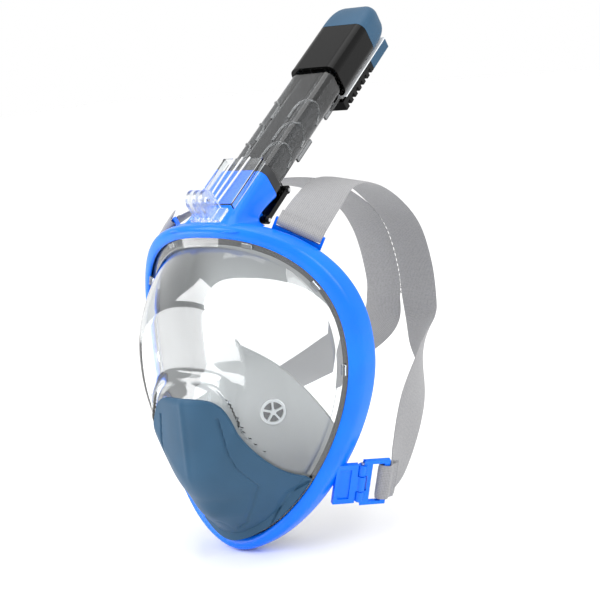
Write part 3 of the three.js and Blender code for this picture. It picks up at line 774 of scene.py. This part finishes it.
# ---------------------------------------------------------------- front frame
FRAME_BAND = corners_cut(
    [
        (-10, -13.3),
        (-8.6, -15.2),
        (-4.5, -16.2),
        (-1.2, -14.8),
        (0, -12),
        (1, 0),
        (-1.8, 0),
        (-2.8, LIP_BACK),
        (-10, LIP_BACK),
    ]
)


def bezier(a, b, c, share):
    return a * (1 - share) ** 2 + b * 2 * share * (1 - share) + c * share**2


def neck(material):
    """The neck flows out of the brow and ends square at the snorkel's socket."""
    sections = []
    for i in range(25):
        t = i / 24
        front = bezier(Vector((0, -26, 123)), Vector((0, -17, 130)), snorkel_point(0, -14, 0), t)
        back = bezier(Vector((0, 12, 122)), Vector((0, 20, 128)), snorkel_point(0, 14, 0), t)
        middle, half = (front + back) / 2, (back - front) / 2
        flare = 12 * (1 - t) ** 5
        ring = rounded_rectangle(TUBE_HALF_WIDTH + 2 + flare, half.length, 7)
        across = half.normalized()
        sections.append([middle + Vector((x, 0, 0)) + across * d for x, d in ring])
    return mesh_piece("neck", *grid_skin(sections), material)


BUCKLE_HEIGHT = -71
LUG_ROOT = (2.2, -4)  # outset and depth of the lug's place on the frame
STRAP_WAY = Vector((0.585, 0.8, -0.13)).normalized()
LUG_LENGTH = 20
LUG_THICK = 4
LUG_HEIGHT = 33
LUG_SUNK = 1  # how far the lug starts inside the frame
KNUCKLE = {"radius": 3.6, "height": 12}
KNUCKLE_ROOM = {"size": (12, 8, 12), "out": 2, "up": 12.3}  # for the buckle's own knuckles
RECESS = {"width": 9, "depth": 1.1, "margin": 4, "out": 6.5}
BUCKLE_LENGTH = 21
THROUGH = 60  # length of a tool that cuts right through a piece


def buckle_station(side):
    """Axes of a lower buckle: X out along the strap, Y through it, Z up along it."""
    angle = angle_at(BUCKLE_HEIGHT)
    origin = frame_point(angle, *LUG_ROOT)
    up = frame_point(angle - 0.01, *LUG_ROOT) - frame_point(angle + 0.01, *LUG_ROOT)
    mirror = Vector((side, 1, 1))
    origin, up, along = origin * mirror, up * mirror, STRAP_WAY * mirror
    up = (up - along * up.dot(along)).normalized()
    through = up.cross(along)
    return Matrix.LocRotScale(origin, Matrix((along, through, up)).transposed(), None)


def hinge_place(back, up):
    turn = Matrix((Vector((1, 0, 0)), TUBE_BACK, TUBE_UP)).transposed()
    return Matrix.LocRotScale(snorkel_point(0, back, up), turn, None)


LOWER_PIN = (18, -19)
UPPER_PIN = (18, 15)
PIN_BORE = 1.85
EAR_OFFSET = 12
EAR_FROM = 4
EAR_THICK = 4
EAR_HEIGHT = 7
EAR_BARREL = 3.3


def hinge_ear(name, side, pin, material):
    back, up = pin
    place = hinge_place(back, up) @ Matrix.Translation((side * EAR_OFFSET, 0, 0))
    barrel = rod_piece(name, EAR_BARREL, EAR_THICK, place, material)
    web_place = hinge_place((back + EAR_FROM) / 2, up) @ Matrix.Translation((side * EAR_OFFSET, 0, 0))
    web_size = (EAR_THICK, back - EAR_FROM, EAR_HEIGHT)
    return combined(barrel, box_piece("web", web_size, web_place, material), "UNION")


def strap_lug(side, material):
    place = buckle_station(side)
    move = place @ Matrix.Translation((LUG_LENGTH / 2 - LUG_SUNK, 0, 0))
    lug = box_piece("lug", (LUG_LENGTH, LUG_THICK, LUG_HEIGHT), move, material)
    knuckle_place = place @ Matrix.Translation((LUG_LENGTH, 0, 0)) @ Matrix.Rotation(math.pi / 2, 4, "Y")
    knuckle = rod_piece("knuckle", KNUCKLE["radius"], KNUCKLE["height"], knuckle_place, material)
    combined(lug, knuckle, "UNION")
    recess_size = (RECESS["width"], 2 * RECESS["depth"], LUG_HEIGHT - 2 * RECESS["margin"])
    for face in (-1, 1):
        recess_place = place @ Matrix.Translation((RECESS["out"], face * LUG_THICK / 2, 0))
        combined(lug, box_piece("recess", recess_size, recess_place, material), "DIFFERENCE")
    room_out = LUG_LENGTH + KNUCKLE_ROOM["out"]
    for end in (-1, 1):
        room_place = place @ Matrix.Translation((room_out, 0, end * KNUCKLE_ROOM["up"]))
        combined(lug, box_piece("room", KNUCKLE_ROOM["size"], room_place, material), "DIFFERENCE")
    return lug


class MASK_OT_front_frame(bpy.types.Operator):
    """Build the blue front frame with its neck, hinge ears and strap lugs"""

    bl_idname = "snorkel_mask.front_frame"
    bl_label = "Front frame"

    def execute(self, context):
        blue = finish("satin_blue_abs")
        body = swept_ring("front_frame", lambda angle: FRAME_BAND, blue)
        combined(body, neck(blue), "UNION")
        duct = [(up, rounded_rectangle(19, 11, 5)) for up in (-44, 5)]
        combined(body, snorkel_loft("duct", duct, blue), "DIFFERENCE")
        for side in (-1, 1):
            combined(body, hinge_ear("ear", side, LOWER_PIN, blue), "UNION")
            combined(body, strap_lug(side, blue), "UNION")
        bore = rod_piece("bore", PIN_BORE, THROUGH, hinge_place(*LOWER_PIN), blue)
        combined(body, bore, "DIFFERENCE")
        stands_for(body, "blue_plastic", "mask", "frame_front")
        return {"FINISHED"}


# ---------------------------------------------------------------- lens and clamped rings
LENS_RINGS = 50  # from the lens's border to its middle
STEEPEST = 1.6  # slope past which the lens's wall no longer turns with its front surface
# The thick rounded ledge over the nose, above the chin cover's edge. It fades out between its two ends.
LEDGE = {"rise": 2.6, "width": 4.5, "above_cover": 12, "ends": (62, 44)}
LIP_EDGE, RIM_EDGE = -10, -3.3  # the lens's flat rim, from the frame's lip outward
# Each clamped ring as (front, back, outer edge, inner edge).
CLAMP_RING = (-3.9, -0.9, -3.2, -8.5)
GASKET_RING = (-8.55, -7.05, -4, -15.5)


def wall_step(point):
    """The step through the lens's wall, square to its front surface."""
    x, z = point.x, point.z
    slope_x = (lens_depth(x + 0.5, z) - lens_depth(x - 0.5, z)) * eased(abs(x), 0, 4)
    slope_z = lens_depth(x, z + 0.5) - lens_depth(x, z - 0.5)
    slope_x = min(STEEPEST, max(-STEEPEST, slope_x))
    slope_z = min(STEEPEST, max(-STEEPEST, slope_z))
    return Vector((-slope_x, 1, -slope_z)).normalized() * LENS_WALL


def lens_section(angle):
    shares = [1 - i / LENS_RINGS for i in range(LENS_RINGS + 1)]
    border_x, border_z = outline(angle, -FLANGE)
    front = []
    for share in shares:
        x, z = border_x * share, WIDEST_AT + (border_z - WIDEST_AT) * share
        away = (z - cover_top(x) - LEDGE["above_cover"]) / LEDGE["width"]
        ledge = LEDGE["rise"] * math.exp(-(away**2)) * eased(abs(x), *LEDGE["ends"])
        front.append(Vector((x, lens_depth(x, z) - ledge, z)))
    back = [p + wall_step(p) for p in reversed(front)]
    rim = [
        frame_point(angle, LIP_EDGE, LENS_RIM[1]),
        frame_point(angle, RIM_EDGE, LENS_RIM[1]),
        frame_point(angle, RIM_EDGE, LENS_RIM[0]),
        frame_point(angle, LIP_EDGE, LENS_RIM[0]),
    ]
    return front + back + rim


class MASK_OT_lens(bpy.types.Operator):
    """Build the clear lens with its flat front, side panels and nose ledge"""

    bl_idname = "snorkel_mask.lens"
    bl_label = "Lens"

    def execute(self, context):
        clear = finish("clear_polycarbonate")
        sections = [lens_section(angle) for angle in ring_angles()]
        lens = mesh_piece("clear_lens", *grid_skin(sections, ring=True), clear)
        low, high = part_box("drain_valve_seat")
        centre = (low + high) / 2 / MM
        radius = (high.x - low.x) / 2 / MM + 0.35
        place = Matrix.Translation(centre) @ Matrix.Rotation(math.pi / 2, 4, "Z")
        combined(lens, rod_piece("drain hole", radius, 40, place, clear), "DIFFERENCE")
        stands_for(lens, "clear_plastic", "mask", "lens")
        return {"FINISHED"}


class MASK_OT_clamped_rings(bpy.types.Operator):
    """Build the rear clamp ring, the lens gasket and the finish of the lens clips"""

    bl_idname = "snorkel_mask.clamped_rings"
    bl_label = "Clamped rings"

    def execute(self, context):
        def ring_of(front, back, outer, inner):
            return lambda angle: corners_cut([(outer, front), (outer, back), (inner, back), (inner, front)])

        clamp = swept_ring("rear_clamp_ring", ring_of(*CLAMP_RING), finish("satin_blue_abs"))
        stands_for(clamp, "blue_plastic", "mask", "frame_rear_clamp")
        gasket = swept_ring("black_lens_gasket", ring_of(*GASKET_RING), finish("black_nitrile_rubber"))
        stands_for(gasket, "black_rubber", "mask", "lens_gasket")
        clips = [f"lens_clip_{i}" for i in range(1, 7)]
        finish_nodes(finish("clear_polycarbonate"), 0.3, *clips)
        return {"FINISHED"}


# ---------------------------------------------------------------- silicone
def skirt_section(angle):
    up = math.cos(angle)
    lip = -(35 + (15 if up > 0 else -5) * abs(up) ** 1.5)
    return corners_cut(
        [
            (-4.5, -6.7),
            (-4.5, -4.25),
            (-9, -4.25),
            (-9, 14),
            (-13, 28),
            (-20, 35),
            (lip + 6, 36.4),
            (lip, 37),
            (lip, 34.8),
            (lip + 6, 34.3),
            (-21, 32.6),
            (-15.3, 26.8),
            (-11.4, 13),
            (-11.4, -6.7),
        ]
    )


BREATH_SLOT = {"size": (32, 14, 30), "middle": (0, -3, 118)}  # lets breath up into the neck
VALVE_HOLE = 9.85


def valve_place(side):
    """X runs through the pocket's wall at an inhale valve."""
    node = f"inhale_valve_seat_{'left' if side > 0 else 'right'}"
    low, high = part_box(node)
    x, z = (high.x + low.x) / 2 / MM, (high.z + low.z) / 2 / MM
    slope = side * (pocket_depth(abs(x) + 1, z) - pocket_depth(abs(x) - 1, z)) / 2
    turn = Matrix.Rotation(math.atan(slope) + math.pi / 2, 4, "Z")
    return Matrix.Translation((x, pocket_depth(x, z), z)) @ turn


class MASK_OT_silicone(bpy.types.Operator):
    """Build the grey face skirt and the nose pocket, and finish their valve flaps and seats"""

    bl_idname = "snorkel_mask.silicone"
    bl_label = "Silicone pieces"

    def execute(self, context):
        grey = finish("grey_silicone")
        skirt = swept_ring("silicone_skirt", skirt_section, grey, 50)
        slot_place = Matrix.Translation(BREATH_SLOT["middle"])
        combined(skirt, box_piece("breath slot", BREATH_SLOT["size"], slot_place, grey), "DIFFERENCE", 50)
        stands_for(skirt, "grey_silicone", "mask", "face_skirt")

        def low(x):
            return chin_line(x, 18.5)

        pocket = apron(
            "silicone_nose_pocket",
            half=73.5,
            columns=96,
            rows=60,
            low=low,
            high=pocket_top,
            depth_at=pocket_depth,
            wall=2.2,
            material=grey,
        )
        for side in (-1, 1):
            hole = rod_piece("valve hole", VALVE_HOLE, 30, valve_place(side), grey, 64)
            combined(pocket, hole, "DIFFERENCE")
        stands_for(pocket, "grey_silicone", "mask", "nose_pocket")
        flaps = ["inhale_valve_flap_left", "inhale_valve_flap_right", "drain_valve_flap"]
        # The flaps' dark colour is painted shade, seen through the gaps between the seat's spokes.
        finish_nodes(finish("flap_silicone_painted_shade"), 0.2, *flaps)
        seats = ["inhale_valve_seat_left", "inhale_valve_seat_right", "drain_valve_seat"]
        finish_nodes(finish("milky_polycarbonate"), 0.25, *seats)
        return {"FINISHED"}


# ---------------------------------------------------------------- chin cover
# Lines pressed into the cover, as (X, Z) stops on its left half.
COVER_LINES = [
    [(27, -6), (30, -24), (32, -44), (38, -62), (32, -73), (27, -82), (19, -94), (12, -99)],
    [(62, -66), (49, -73), (42, -82), (36, -92), (32, -99)],
]


LINE_WIDTH = 0.9  # of the pressed lines and of the ring over the drain
DRAIN_RING = {"height": -98, "radius": 6, "depth": 0.5}
CREASE = {"rise": 0.9, "width": 2.2}  # down the cover's middle


def distance_to_lines(x, z):
    """How far a point of the cover's left half is from the nearest line."""
    nearest = 1e9
    for line in COVER_LINES:
        for (ax, az), (bx, bz) in zip(line, line[1:]):
            dx, dz = bx - ax, bz - az
            share = min(1, max(0, ((x - ax) * dx + (z - az) * dz) / (dx * dx + dz * dz)))
            nearest = min(nearest, math.hypot(x - ax - dx * share, z - az - dz * share))
    return nearest


class MASK_OT_chin_cover(bpy.types.Operator):
    """Build the navy chin cover with its pressed lines and drain emboss"""

    bl_idname = "snorkel_mask.chin_cover"
    bl_label = "Chin cover"

    def execute(self, context):
        groove = context.scene.mask_sizes.groove_depth / MM

        def depth_at(x, z):
            away = distance_to_lines(abs(x), z)
            line = groove * math.exp(-((away / LINE_WIDTH) ** 2))
            from_ring = math.hypot(x, z - DRAIN_RING["height"]) - DRAIN_RING["radius"]
            ring = DRAIN_RING["depth"] * math.exp(-((from_ring / LINE_WIDTH) ** 2))
            crease = CREASE["rise"] * math.exp(-((x / CREASE["width"]) ** 2)) * eased(z, -62, -40)
            return cover_depth(x, z) + line + ring - crease

        def low(x):
            return chin_line(x, 10.9)

        cover = apron(
            "navy_chin_cover",
            half=64.5,
            columns=170,
            rows=150,
            low=low,
            high=cover_top,
            depth_at=depth_at,
            wall=2.4,
            material=finish("matt_navy_abs"),
        )
        stands_for(cover, "navy_plastic", "mask", "chin_cover")
        return {"FINISHED"}


# ---------------------------------------------------------------- neck fittings and hinge
class MASK_OT_neck_fittings(bpy.types.Operator):
    """Build the clear neck cover and the socket gasket, and finish the camera mount, link and pins"""

    bl_idname = "snorkel_mask.neck_fittings"
    bl_label = "Neck fittings"

    def neck_cover(self, clear, pale):
        """A thin clear plate on two side walls, with three pale ribs down it."""
        low, high = -42, 9
        length, middle = high - low, (high + low) / 2
        width, thick, wall_depth, wall_offset = 37.6, 1.6, 5, 18
        plate_back, wall_back, rib_back = -18.75, -16.85, -20.2
        plate_place = hinge_place(plate_back, middle)
        plate = box_piece("clear_neck_cover", (width, thick, length), plate_place, clear)
        for side in (-1, 1):
            place = hinge_place(wall_back, middle) @ Matrix.Translation((side * wall_offset, 0, 0))
            combined(plate, box_piece("wall", (thick, wall_depth, length), place, clear), "UNION")
        stands_for(plate, "clear_plastic", "mask", "neck_cover")
        ribs = []
        for x in (-7, 0, 7):
            spread = ((0.75, low), (0.9, middle), (1, high))
            stops = [snorkel_point(x * share, rib_back, up) for share, up in spread]
            ribs.append(thread("rib", stops, 0.75, pale))
        row = joined_piece("neck_cover_ribs", ribs)
        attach(row, "mask")

    def execute(self, context):
        rounding = context.scene.mask_sizes.edge_rounding / MM
        finish_nodes(finish("frosted_polycarbonate"), 0.25, "camera_mount")
        self.neck_cover(finish("clear_polycarbonate"), finish("milky_polycarbonate"))
        gasket = [
            (up, rounded_rectangle(21.6 - inset, 13.6 - inset, 8.6 - inset, 10))
            for up, inset in [(0.35, 0.8), (1.2, 0), (8.8, 0), (9.65, 0.8)]
        ]
        ring = snorkel_loft("black_socket_gasket", gasket, finish("black_nitrile_rubber"))
        hole = [(up, rounded_rectangle(18, 10, 5, 10)) for up in (-2, 12)]
        combined(ring, snorkel_loft("hole", hole, finish("black_nitrile_rubber")), "DIFFERENCE")
        stands_for(ring, "black_rubber", "mask", "socket_gasket")
        finish_nodes(finish("gloss_black_abs"), rounding, "hinge_link")
        finish_nodes(finish("turned_stainless_steel"), 0.3, "hinge_pin_lower", "hinge_pin_upper")
        return {"FINISHED"}


# ---------------------------------------------------------------- snorkel
DUCT_OFFSET = 13.9  # of the two outer ducts from the middle one
RAIL = {"width": 2, "depth": 3, "x": 16.5, "back": 13, "stretches": [(43, 67), (94, 122)]}
CAP_LOW = 181.35
CAP_TOP = 213


def scale_rib(side, low, material):
    """A raised arch that wraps the tube's front corner, open at the bottom."""
    stops = [
        (8, -12.2, 0),
        (8.5, -12.2, 14),
        (12, -12.2, 20),
        (17.9, -10.1, 23),
        (TUBE_HALF_WIDTH + 0.2, -4, 24),
        (TUBE_HALF_WIDTH + 0.2, 3, 20),
        (TUBE_HALF_WIDTH + 0.2, 6, 12),
    ]
    places = [snorkel_point(side * x, back, low + up) for x, back, up in stops]
    return thread("scale rib", places, 0.9, material)


class MASK_OT_snorkel_tube(bpy.types.Operator):
    """Build the smoked tube with its three ducts, side arches, rails and hinge ears"""

    bl_idname = "snorkel_mask.snorkel_tube"
    bl_label = "Snorkel tube"

    def execute(self, context):
        smoke = finish("smoked_polycarbonate")
        ends = [(10, 0.4), (10.4, 0), (132.6, 0), (133, 0.4)]
        outside = [
            (up, rounded_rectangle(TUBE_HALF_WIDTH - inset, 12 - inset, 7, 12)) for up, inset in ends
        ]
        tube = snorkel_loft("smoked_tube", outside, smoke)
        for side, half_width in [(-1, 4.1), (0, 8), (1, 4.1)]:
            hole = rounded_rectangle(half_width, 10.2, 2.5, 8)
            shifted = [(x + side * DUCT_OFFSET, back) for x, back in hole]
            duct = [(up, shifted) for up in (5, 138)]
            combined(tube, snorkel_loft("duct", duct, smoke), "DIFFERENCE")
        for side in (-1, 1):
            combined(tube, hinge_ear("ear", side, UPPER_PIN, smoke), "UNION")
            for start, end in RAIL["stretches"]:
                middle = hinge_place(RAIL["back"], (start + end) / 2)
                place = middle @ Matrix.Translation((side * RAIL["x"], 0, 0))
                size = (RAIL["width"], RAIL["depth"], end - start)
                combined(tube, box_piece("rail", size, place, smoke), "UNION")
        combined(tube, rod_piece("bore", PIN_BORE, THROUGH, hinge_place(*UPPER_PIN), smoke), "DIFFERENCE")
        stands_for(tube, "smoked_plastic", "snorkel", "snorkel_tube")
        pale = finish("frosted_polycarbonate")
        ribs = [scale_rib(side, low, pale) for side in (-1, 1) for low in (14, 38, 65)]
        arches = joined_piece("tube_side_arches", ribs)
        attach(arches, "snorkel")
        return {"FINISHED"}


def cap_sections(grow, top, low):
    """A dome over the head: full width at the bottom, drawn in towards the top."""
    sections = []
    for i in range(15):
        share = i / 14
        up = low + (top - low) * math.sin(share * math.pi / 2)
        shrink = max(0.02, (1 - math.sin(share * math.pi / 2) ** 3.2)) ** (1 / 3.2)
        half_width = (HEAD_HALF_WIDTH - grow) * (0.35 + 0.65 * shrink)
        half_depth = (15 - grow) * (0.4 + 0.6 * shrink)
        radius = min(8, half_depth * 0.75)
        sections.append((up, rounded_rectangle(half_width, half_depth, radius, 10)))
    return sections


class MASK_OT_snorkel_head(bpy.types.Operator):
    """Build the navy cap and finish the black head, its valve, float, seam, cover and grille"""

    bl_idname = "snorkel_mask.snorkel_head"
    bl_label = "Snorkel head"

    def execute(self, context):
        navy = finish("matt_navy_abs")
        black = finish("gloss_black_abs")
        rounding = context.scene.mask_sizes.edge_rounding / MM
        cap = snorkel_loft("navy_head_cap", cap_sections(0, CAP_TOP, CAP_LOW), navy)
        inside = snorkel_loft("inside", cap_sections(2.2, CAP_TOP - 2.4, CAP_LOW - 1), navy)
        combined(cap, inside, "DIFFERENCE")
        stands_for(cap, "navy_plastic", "snorkel", "top_cap")
        finish_nodes(black, rounding, "head_body", "head_rear_grille")
        finish_nodes(navy, 1.2, "head_rear_cover")
        finish_nodes(navy, 0.3, "float_valve_plate", "dry_float")
        finish_nodes(finish("clear_silicone"), 0.2, "head_seam_gasket")
        finish_nodes(finish("black_nitrile_rubber"), 0.3, "float_seal")
        return {"FINISHED"}


# ---------------------------------------------------------------- head harness
class MASK_OT_strap_fittings(bpy.types.Operator):
    """Finish the lower buckles, the upper strap clips, their pins and screws"""

    bl_idname = "snorkel_mask.strap_fittings"
    bl_label = "Strap fittings"

    def execute(self, context):
        rounding = context.scene.mask_sizes.edge_rounding / MM
        blue = finish("satin_blue_abs")
        steel = finish("turned_stainless_steel")
        for side in ("left", "right"):
            finish_nodes(blue, rounding, f"lower_buckle_{side}", f"upper_strap_clip_{side}")
            finish_nodes(steel, 0.25, f"lower_buckle_pin_{side}", f"upper_strap_clip_screw_{side}")
        return {"FINISHED"}


CLIP_HEIGHT = 114


def clip_axes():
    """At the left upper clip's middle: a place on the outline, then the ways along it, back and out."""
    angle = angle_at(CLIP_HEIGHT)
    along = (frame_point(angle + 0.01, 0, 0) - frame_point(angle - 0.01, 0, 0)).normalized()
    outward = along.cross(Vector((0, 1, 0))).normalized()
    return frame_point(angle, 0, 0), along, outward.cross(along), outward


def clip_point(out, back):
    place, _, backward, outward = clip_axes()
    return place + backward * back + outward * out


def clip_loop():
    """The turn of the strap's end round the clip's outer bar."""
    along = clip_axes()[1]
    turn = [(11, 10.6), (8.6, 7.4), (7, 4.2), (4.8, 2.9), (2.2, 3.7), (1.8, 6.2), (3, 9), (6.5, 11.4)]
    return [(clip_point(out, back), along) for out, back in turn]


def buckle_loop():
    """The turn of the strap's end through the buckle's slot and back behind itself."""
    place = buckle_station(1)
    way_in = [(48, 1.4), (44, -0.4), (41.5, -2.9), (38.5, -3), (35, -1.6)]
    way_back = [(33.6, 1), (36.5, 3.6), (42, 4.4), (50, 4.2)]
    upward = place.to_3x3() @ Vector((0, 0, 1))
    return [(place @ Vector((out, through, 0)), upward) for out, through in way_in + way_back]


def strap_stops(sizes):
    """The left strap's way, each stop with its place and the way that its width lies."""
    beside_seam = sizes.webbing_width / MM / 2 + 0.6
    buckle_bar = buckle_station(1) @ Vector((LUG_LENGTH + BUCKLE_LENGTH + 2.8, 0, 0))
    return [
        (clip_point(6.5, 11.4), (0.85, 0.2, -0.5)),
        ((52, 52, 133), (0.9, 0.25, -0.35)),
        ((38, 96, 141), (0.95, 0.2, -0.2)),
        ((24, 150, 133), (0.98, 0.1, -0.15)),
        ((beside_seam, 195, 110), (1, 0, 0)),
        ((beside_seam, 221, 84), (1, 0, 0)),
        ((beside_seam, 234, 50), (1, 0, 0)),
        ((beside_seam + 0.4, 236, 20), (1, 0, 0.02)),
        ((24, 227, -6), (0.85, -0.15, 0.4)),
        ((52, 176, -27), (0.1, -0.3, 0.95)),
        ((77, 115, -45), (-0.3, -0.3, 0.9)),
        ((93, 68, -67), (-0.1, -0.2, 0.95)),
        (buckle_bar, (0.293, -0.059, 0.954)),
    ]


def strap_width(sizes, share):
    """The strap narrows from its full width to its end width on the way to the lower buckle."""
    narrow = eased(share, 0.65, 0.9)
    return (sizes.webbing_width * (1 - narrow) + sizes.webbing_end_width * narrow) / MM


def webbing(name, side, stops, width_at, steps, sizes, material):
    """A flat band with rounded edges whose weave map runs across and along it in metres."""
    across_steps = 10
    mirror = Vector((side, 1, 1))
    path = [p * mirror for p in curve_through([place for place, _ in stops], steps)]
    widths = [w * mirror for w in curve_through([way for _, way in stops], steps)]
    thick = sizes.webbing_thickness / MM / 2
    run = 0
    sections, map_points = [], []
    for i, centre in enumerate(path):
        along = (path[min(i + 1, steps)] - path[max(i - 1, 0)]).normalized()
        width = width_at(i / steps)
        across = widths[i] - along * widths[i].dot(along)
        across.normalize()
        through = along.cross(across).normalized()
        if i:
            run += (centre - path[i - 1]).length
        ring, places = [], []
        for face in (1, -1):
            for k in range(across_steps + 1):
                share = (k / across_steps * 2 - 1) * face
                edge = 1 - 0.65 * abs(share) ** 8
                ring.append(centre + across * (share * width / 2) + through * (thick * edge * face))
                places.append((share * width / 2 * MM, run * MM))
        sections.append(ring)
        map_points.append(places)
    points, faces = grid_skin(sections)
    strap = bpy.data.meshes.new(name)
    strap.from_pydata([tuple(p * MM) for p in points], [], faces)
    flat = [place for places in map_points for place in places]
    layer = strap.uv_layers.new(name="weave")
    for loop in strap.loops:
        layer.data[loop.index].uv = flat[loop.vertex_index]
    build = bmesh.new()
    build.from_mesh(strap)
    bmesh.ops.recalc_face_normals(build, faces=build.faces)
    build.to_mesh(strap)
    build.free()
    strap.materials.append(material)
    smooth(strap, 50)
    made = bpy.data.objects.new(name, strap)
    bpy.context.scene.collection.objects.link(made)
    return made


def crumples(piece):
    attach(piece, "mask")
    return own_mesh(piece)


class MASK_OT_head_straps(bpy.types.Operator):
    """Build the two woven head straps and the stitches that join them down the back"""

    bl_idname = "snorkel_mask.head_straps"
    bl_label = "Head straps"

    def execute(self, context):
        sizes = context.scene.mask_sizes
        cloth = finish("woven_grey_elastic")
        for label, side in (("left", 1), ("right", -1)):
            strap = webbing(
                f"woven_strap_{label}",
                side,
                strap_stops(sizes),
                lambda share: strap_width(sizes, share),
                160,
                sizes,
                cloth,
            )
            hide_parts(f"head_strap_{label}")
            crumples(strap)
            loop = webbing(
                f"clip_loop_{label}",
                side,
                clip_loop(),
                lambda share: strap_width(sizes, 0),
                40,
                sizes,
                cloth,
            )
            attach(loop, "mask")
            turn = webbing(
                f"buckle_loop_{label}",
                side,
                buckle_loop(),
                lambda share: strap_width(sizes, 1),
                40,
                sizes,
                cloth,
            )
            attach(turn, f"buckle_{label}")
        seam = curve_through([(0, 195, 110), (0, 221, 84), (0, 234, 50), (0, 236, 20)], 40)
        outward = Vector((0, 1.1, 0))
        stitches = []
        for i, (start, end) in enumerate(zip(seam, seam[1:])):
            side = 1.6 if i % 2 else -1.6
            stops = [
                start + outward + Vector((-side, 0, 0)),
                (start + end) / 2 + outward * 1.3,
                end + outward + Vector((side, 0, 0)),
            ]
            stitches.append(thread("stitch", stops, 0.35, cloth, sides=6, steps=4))
        row = joined_piece("strap_seam_stitches", stitches)
        crumples(row)
        return {"FINISHED"}


# ---------------------------------------------------------------- stage
def aimed_light(name, place, aim, size, height, power):
    lamp = bpy.data.lights.new(name, "AREA")
    lamp.shape = "RECTANGLE"
    lamp.size = size
    lamp.size_y = height
    lamp.energy = power
    made = bpy.data.objects.new(name, lamp)
    made.location = place
    made.rotation_euler = (Vector(aim) - Vector(place)).to_track_quat("-Z", "Y").to_euler()
    bpy.context.scene.collection.objects.link(made)


class MASK_OT_stage(bpy.types.Operator):
    """Lay the pale floor, hang the softboxes and set the camera"""

    bl_idname = "snorkel_mask.stage"
    bl_label = "Stage"

    def execute(self, context):
        scene = context.scene
        floor_height = CAD_BOX[0][2] / MM
        reach = 6000
        corners = [Vector((x, y, floor_height)) for x, y in [(-1, -1), (1, -1), (1, 1), (-1, 1)]]
        corners = [Vector((c.x * reach, c.y * reach, c.z)) for c in corners]
        floor = mesh_piece("studio_floor", corners, [(0, 1, 2, 3)], finish("studio_paper"))
        world = bpy.data.worlds.new("pale studio")
        world.use_nodes = True
        world.node_tree.nodes["Background"].inputs["Color"].default_value = (1, 1, 1, 1)
        world.node_tree.nodes["Background"].inputs["Strength"].default_value = 1.0
        scene.world = world
        aimed_light("key softbox", (-1.1, -1.5, 1.5), (0, 0, 0.05), 1.2, 1.2, 26)
        aimed_light("side softbox", (1.7, 0.1, 1.1), (0, 0.05, 0), 0.7, 1.4, 14)
        aimed_light("top softbox", (0, 0.3, 2.1), (0, 0, 0), 1.6, 1.6, 14)
        aimed_light("low window", (-0.47, -0.46, -0.03), (0.02, 0.1, 0.0), 0.42, 0.17, 0.9)

        # The object leans forward in the camera's own upright frame, so the camera is turned back
        # by that lean.
        lean, azimuth, elevation = math.radians(10), math.radians(36), math.radians(3)
        distance, aim_right, aim_up = 1.076, 0.0448, 0.0653
        back = Vector(
            (
                math.sin(azimuth) * math.cos(elevation),
                -math.cos(azimuth) * math.cos(elevation),
                math.sin(elevation),
            )
        )
        right = Vector((math.cos(azimuth), math.sin(azimuth), 0))
        upward = back.cross(right)
        aim = right * aim_right + upward * aim_up
        turn_back = Matrix.Rotation(-lean, 3, "X")
        axes = Matrix((turn_back @ right, turn_back @ upward, turn_back @ back)).transposed()
        lens = bpy.data.cameras.new("studio camera")
        lens.lens = 85
        camera = bpy.data.objects.new("studio camera", lens)
        camera.matrix_world = Matrix.LocRotScale(turn_back @ (aim + back * distance), axes, None)
        scene.collection.objects.link(camera)
        scene.camera = camera
        scene.view_settings.view_transform = "Standard"
        return {"FINISHED"}


# ---------------------------------------------------------------- panel and registration
PIECE_OPERATORS = (
    MASK_OT_front_frame,
    MASK_OT_lens,
    MASK_OT_clamped_rings,
    MASK_OT_silicone,
    MASK_OT_chin_cover,
    MASK_OT_neck_fittings,
    MASK_OT_snorkel_tube,
    MASK_OT_snorkel_head,
    MASK_OT_strap_fittings,
    MASK_OT_head_straps,
    MASK_OT_stage,
)


class MASK_PT_sidebar(bpy.types.Panel):
    """Sizes, colours and pieces of the snorkel mask"""

    bl_idname = "MASK_PT_sidebar"
    bl_label = "Snorkel Mask"
    bl_space_type = "VIEW_3D"
    bl_region_type = "UI"
    bl_category = "Snorkel Mask"

    def draw(self, context):
        for group in (context.scene.mask_sizes, context.scene.mask_colours):
            for key in group.bl_rna.properties.keys():
                if key not in ("rna_type", "name"):
                    self.layout.prop(group, key)
        for operator in PIECE_OPERATORS:
            self.layout.operator(operator.bl_idname)


CLASSES = (MaskSizes, MaskColours, *PIECE_OPERATORS, MASK_PT_sidebar)


def register():
    for item in CLASSES:
        bpy.utils.register_class(item)
    bpy.types.Scene.mask_sizes = PointerProperty(type=MaskSizes)
    bpy.types.Scene.mask_colours = PointerProperty(type=MaskColours)


def unregister():
    del bpy.types.Scene.mask_colours
    del bpy.types.Scene.mask_sizes
    for item in reversed(CLASSES):
        bpy.utils.unregister_class(item)


def main():
    register()
    bpy.ops.snorkel_mask.front_frame()
    bpy.ops.snorkel_mask.lens()
    bpy.ops.snorkel_mask.clamped_rings()
    bpy.ops.snorkel_mask.silicone()
    bpy.ops.snorkel_mask.chin_cover()
    bpy.ops.snorkel_mask.neck_fittings()
    bpy.ops.snorkel_mask.snorkel_tube()
    bpy.ops.snorkel_mask.snorkel_head()
    bpy.ops.snorkel_mask.strap_fittings()
    bpy.ops.snorkel_mask.head_straps()
    bpy.ops.snorkel_mask.stage()


if __name__ == "__main__":
    main()
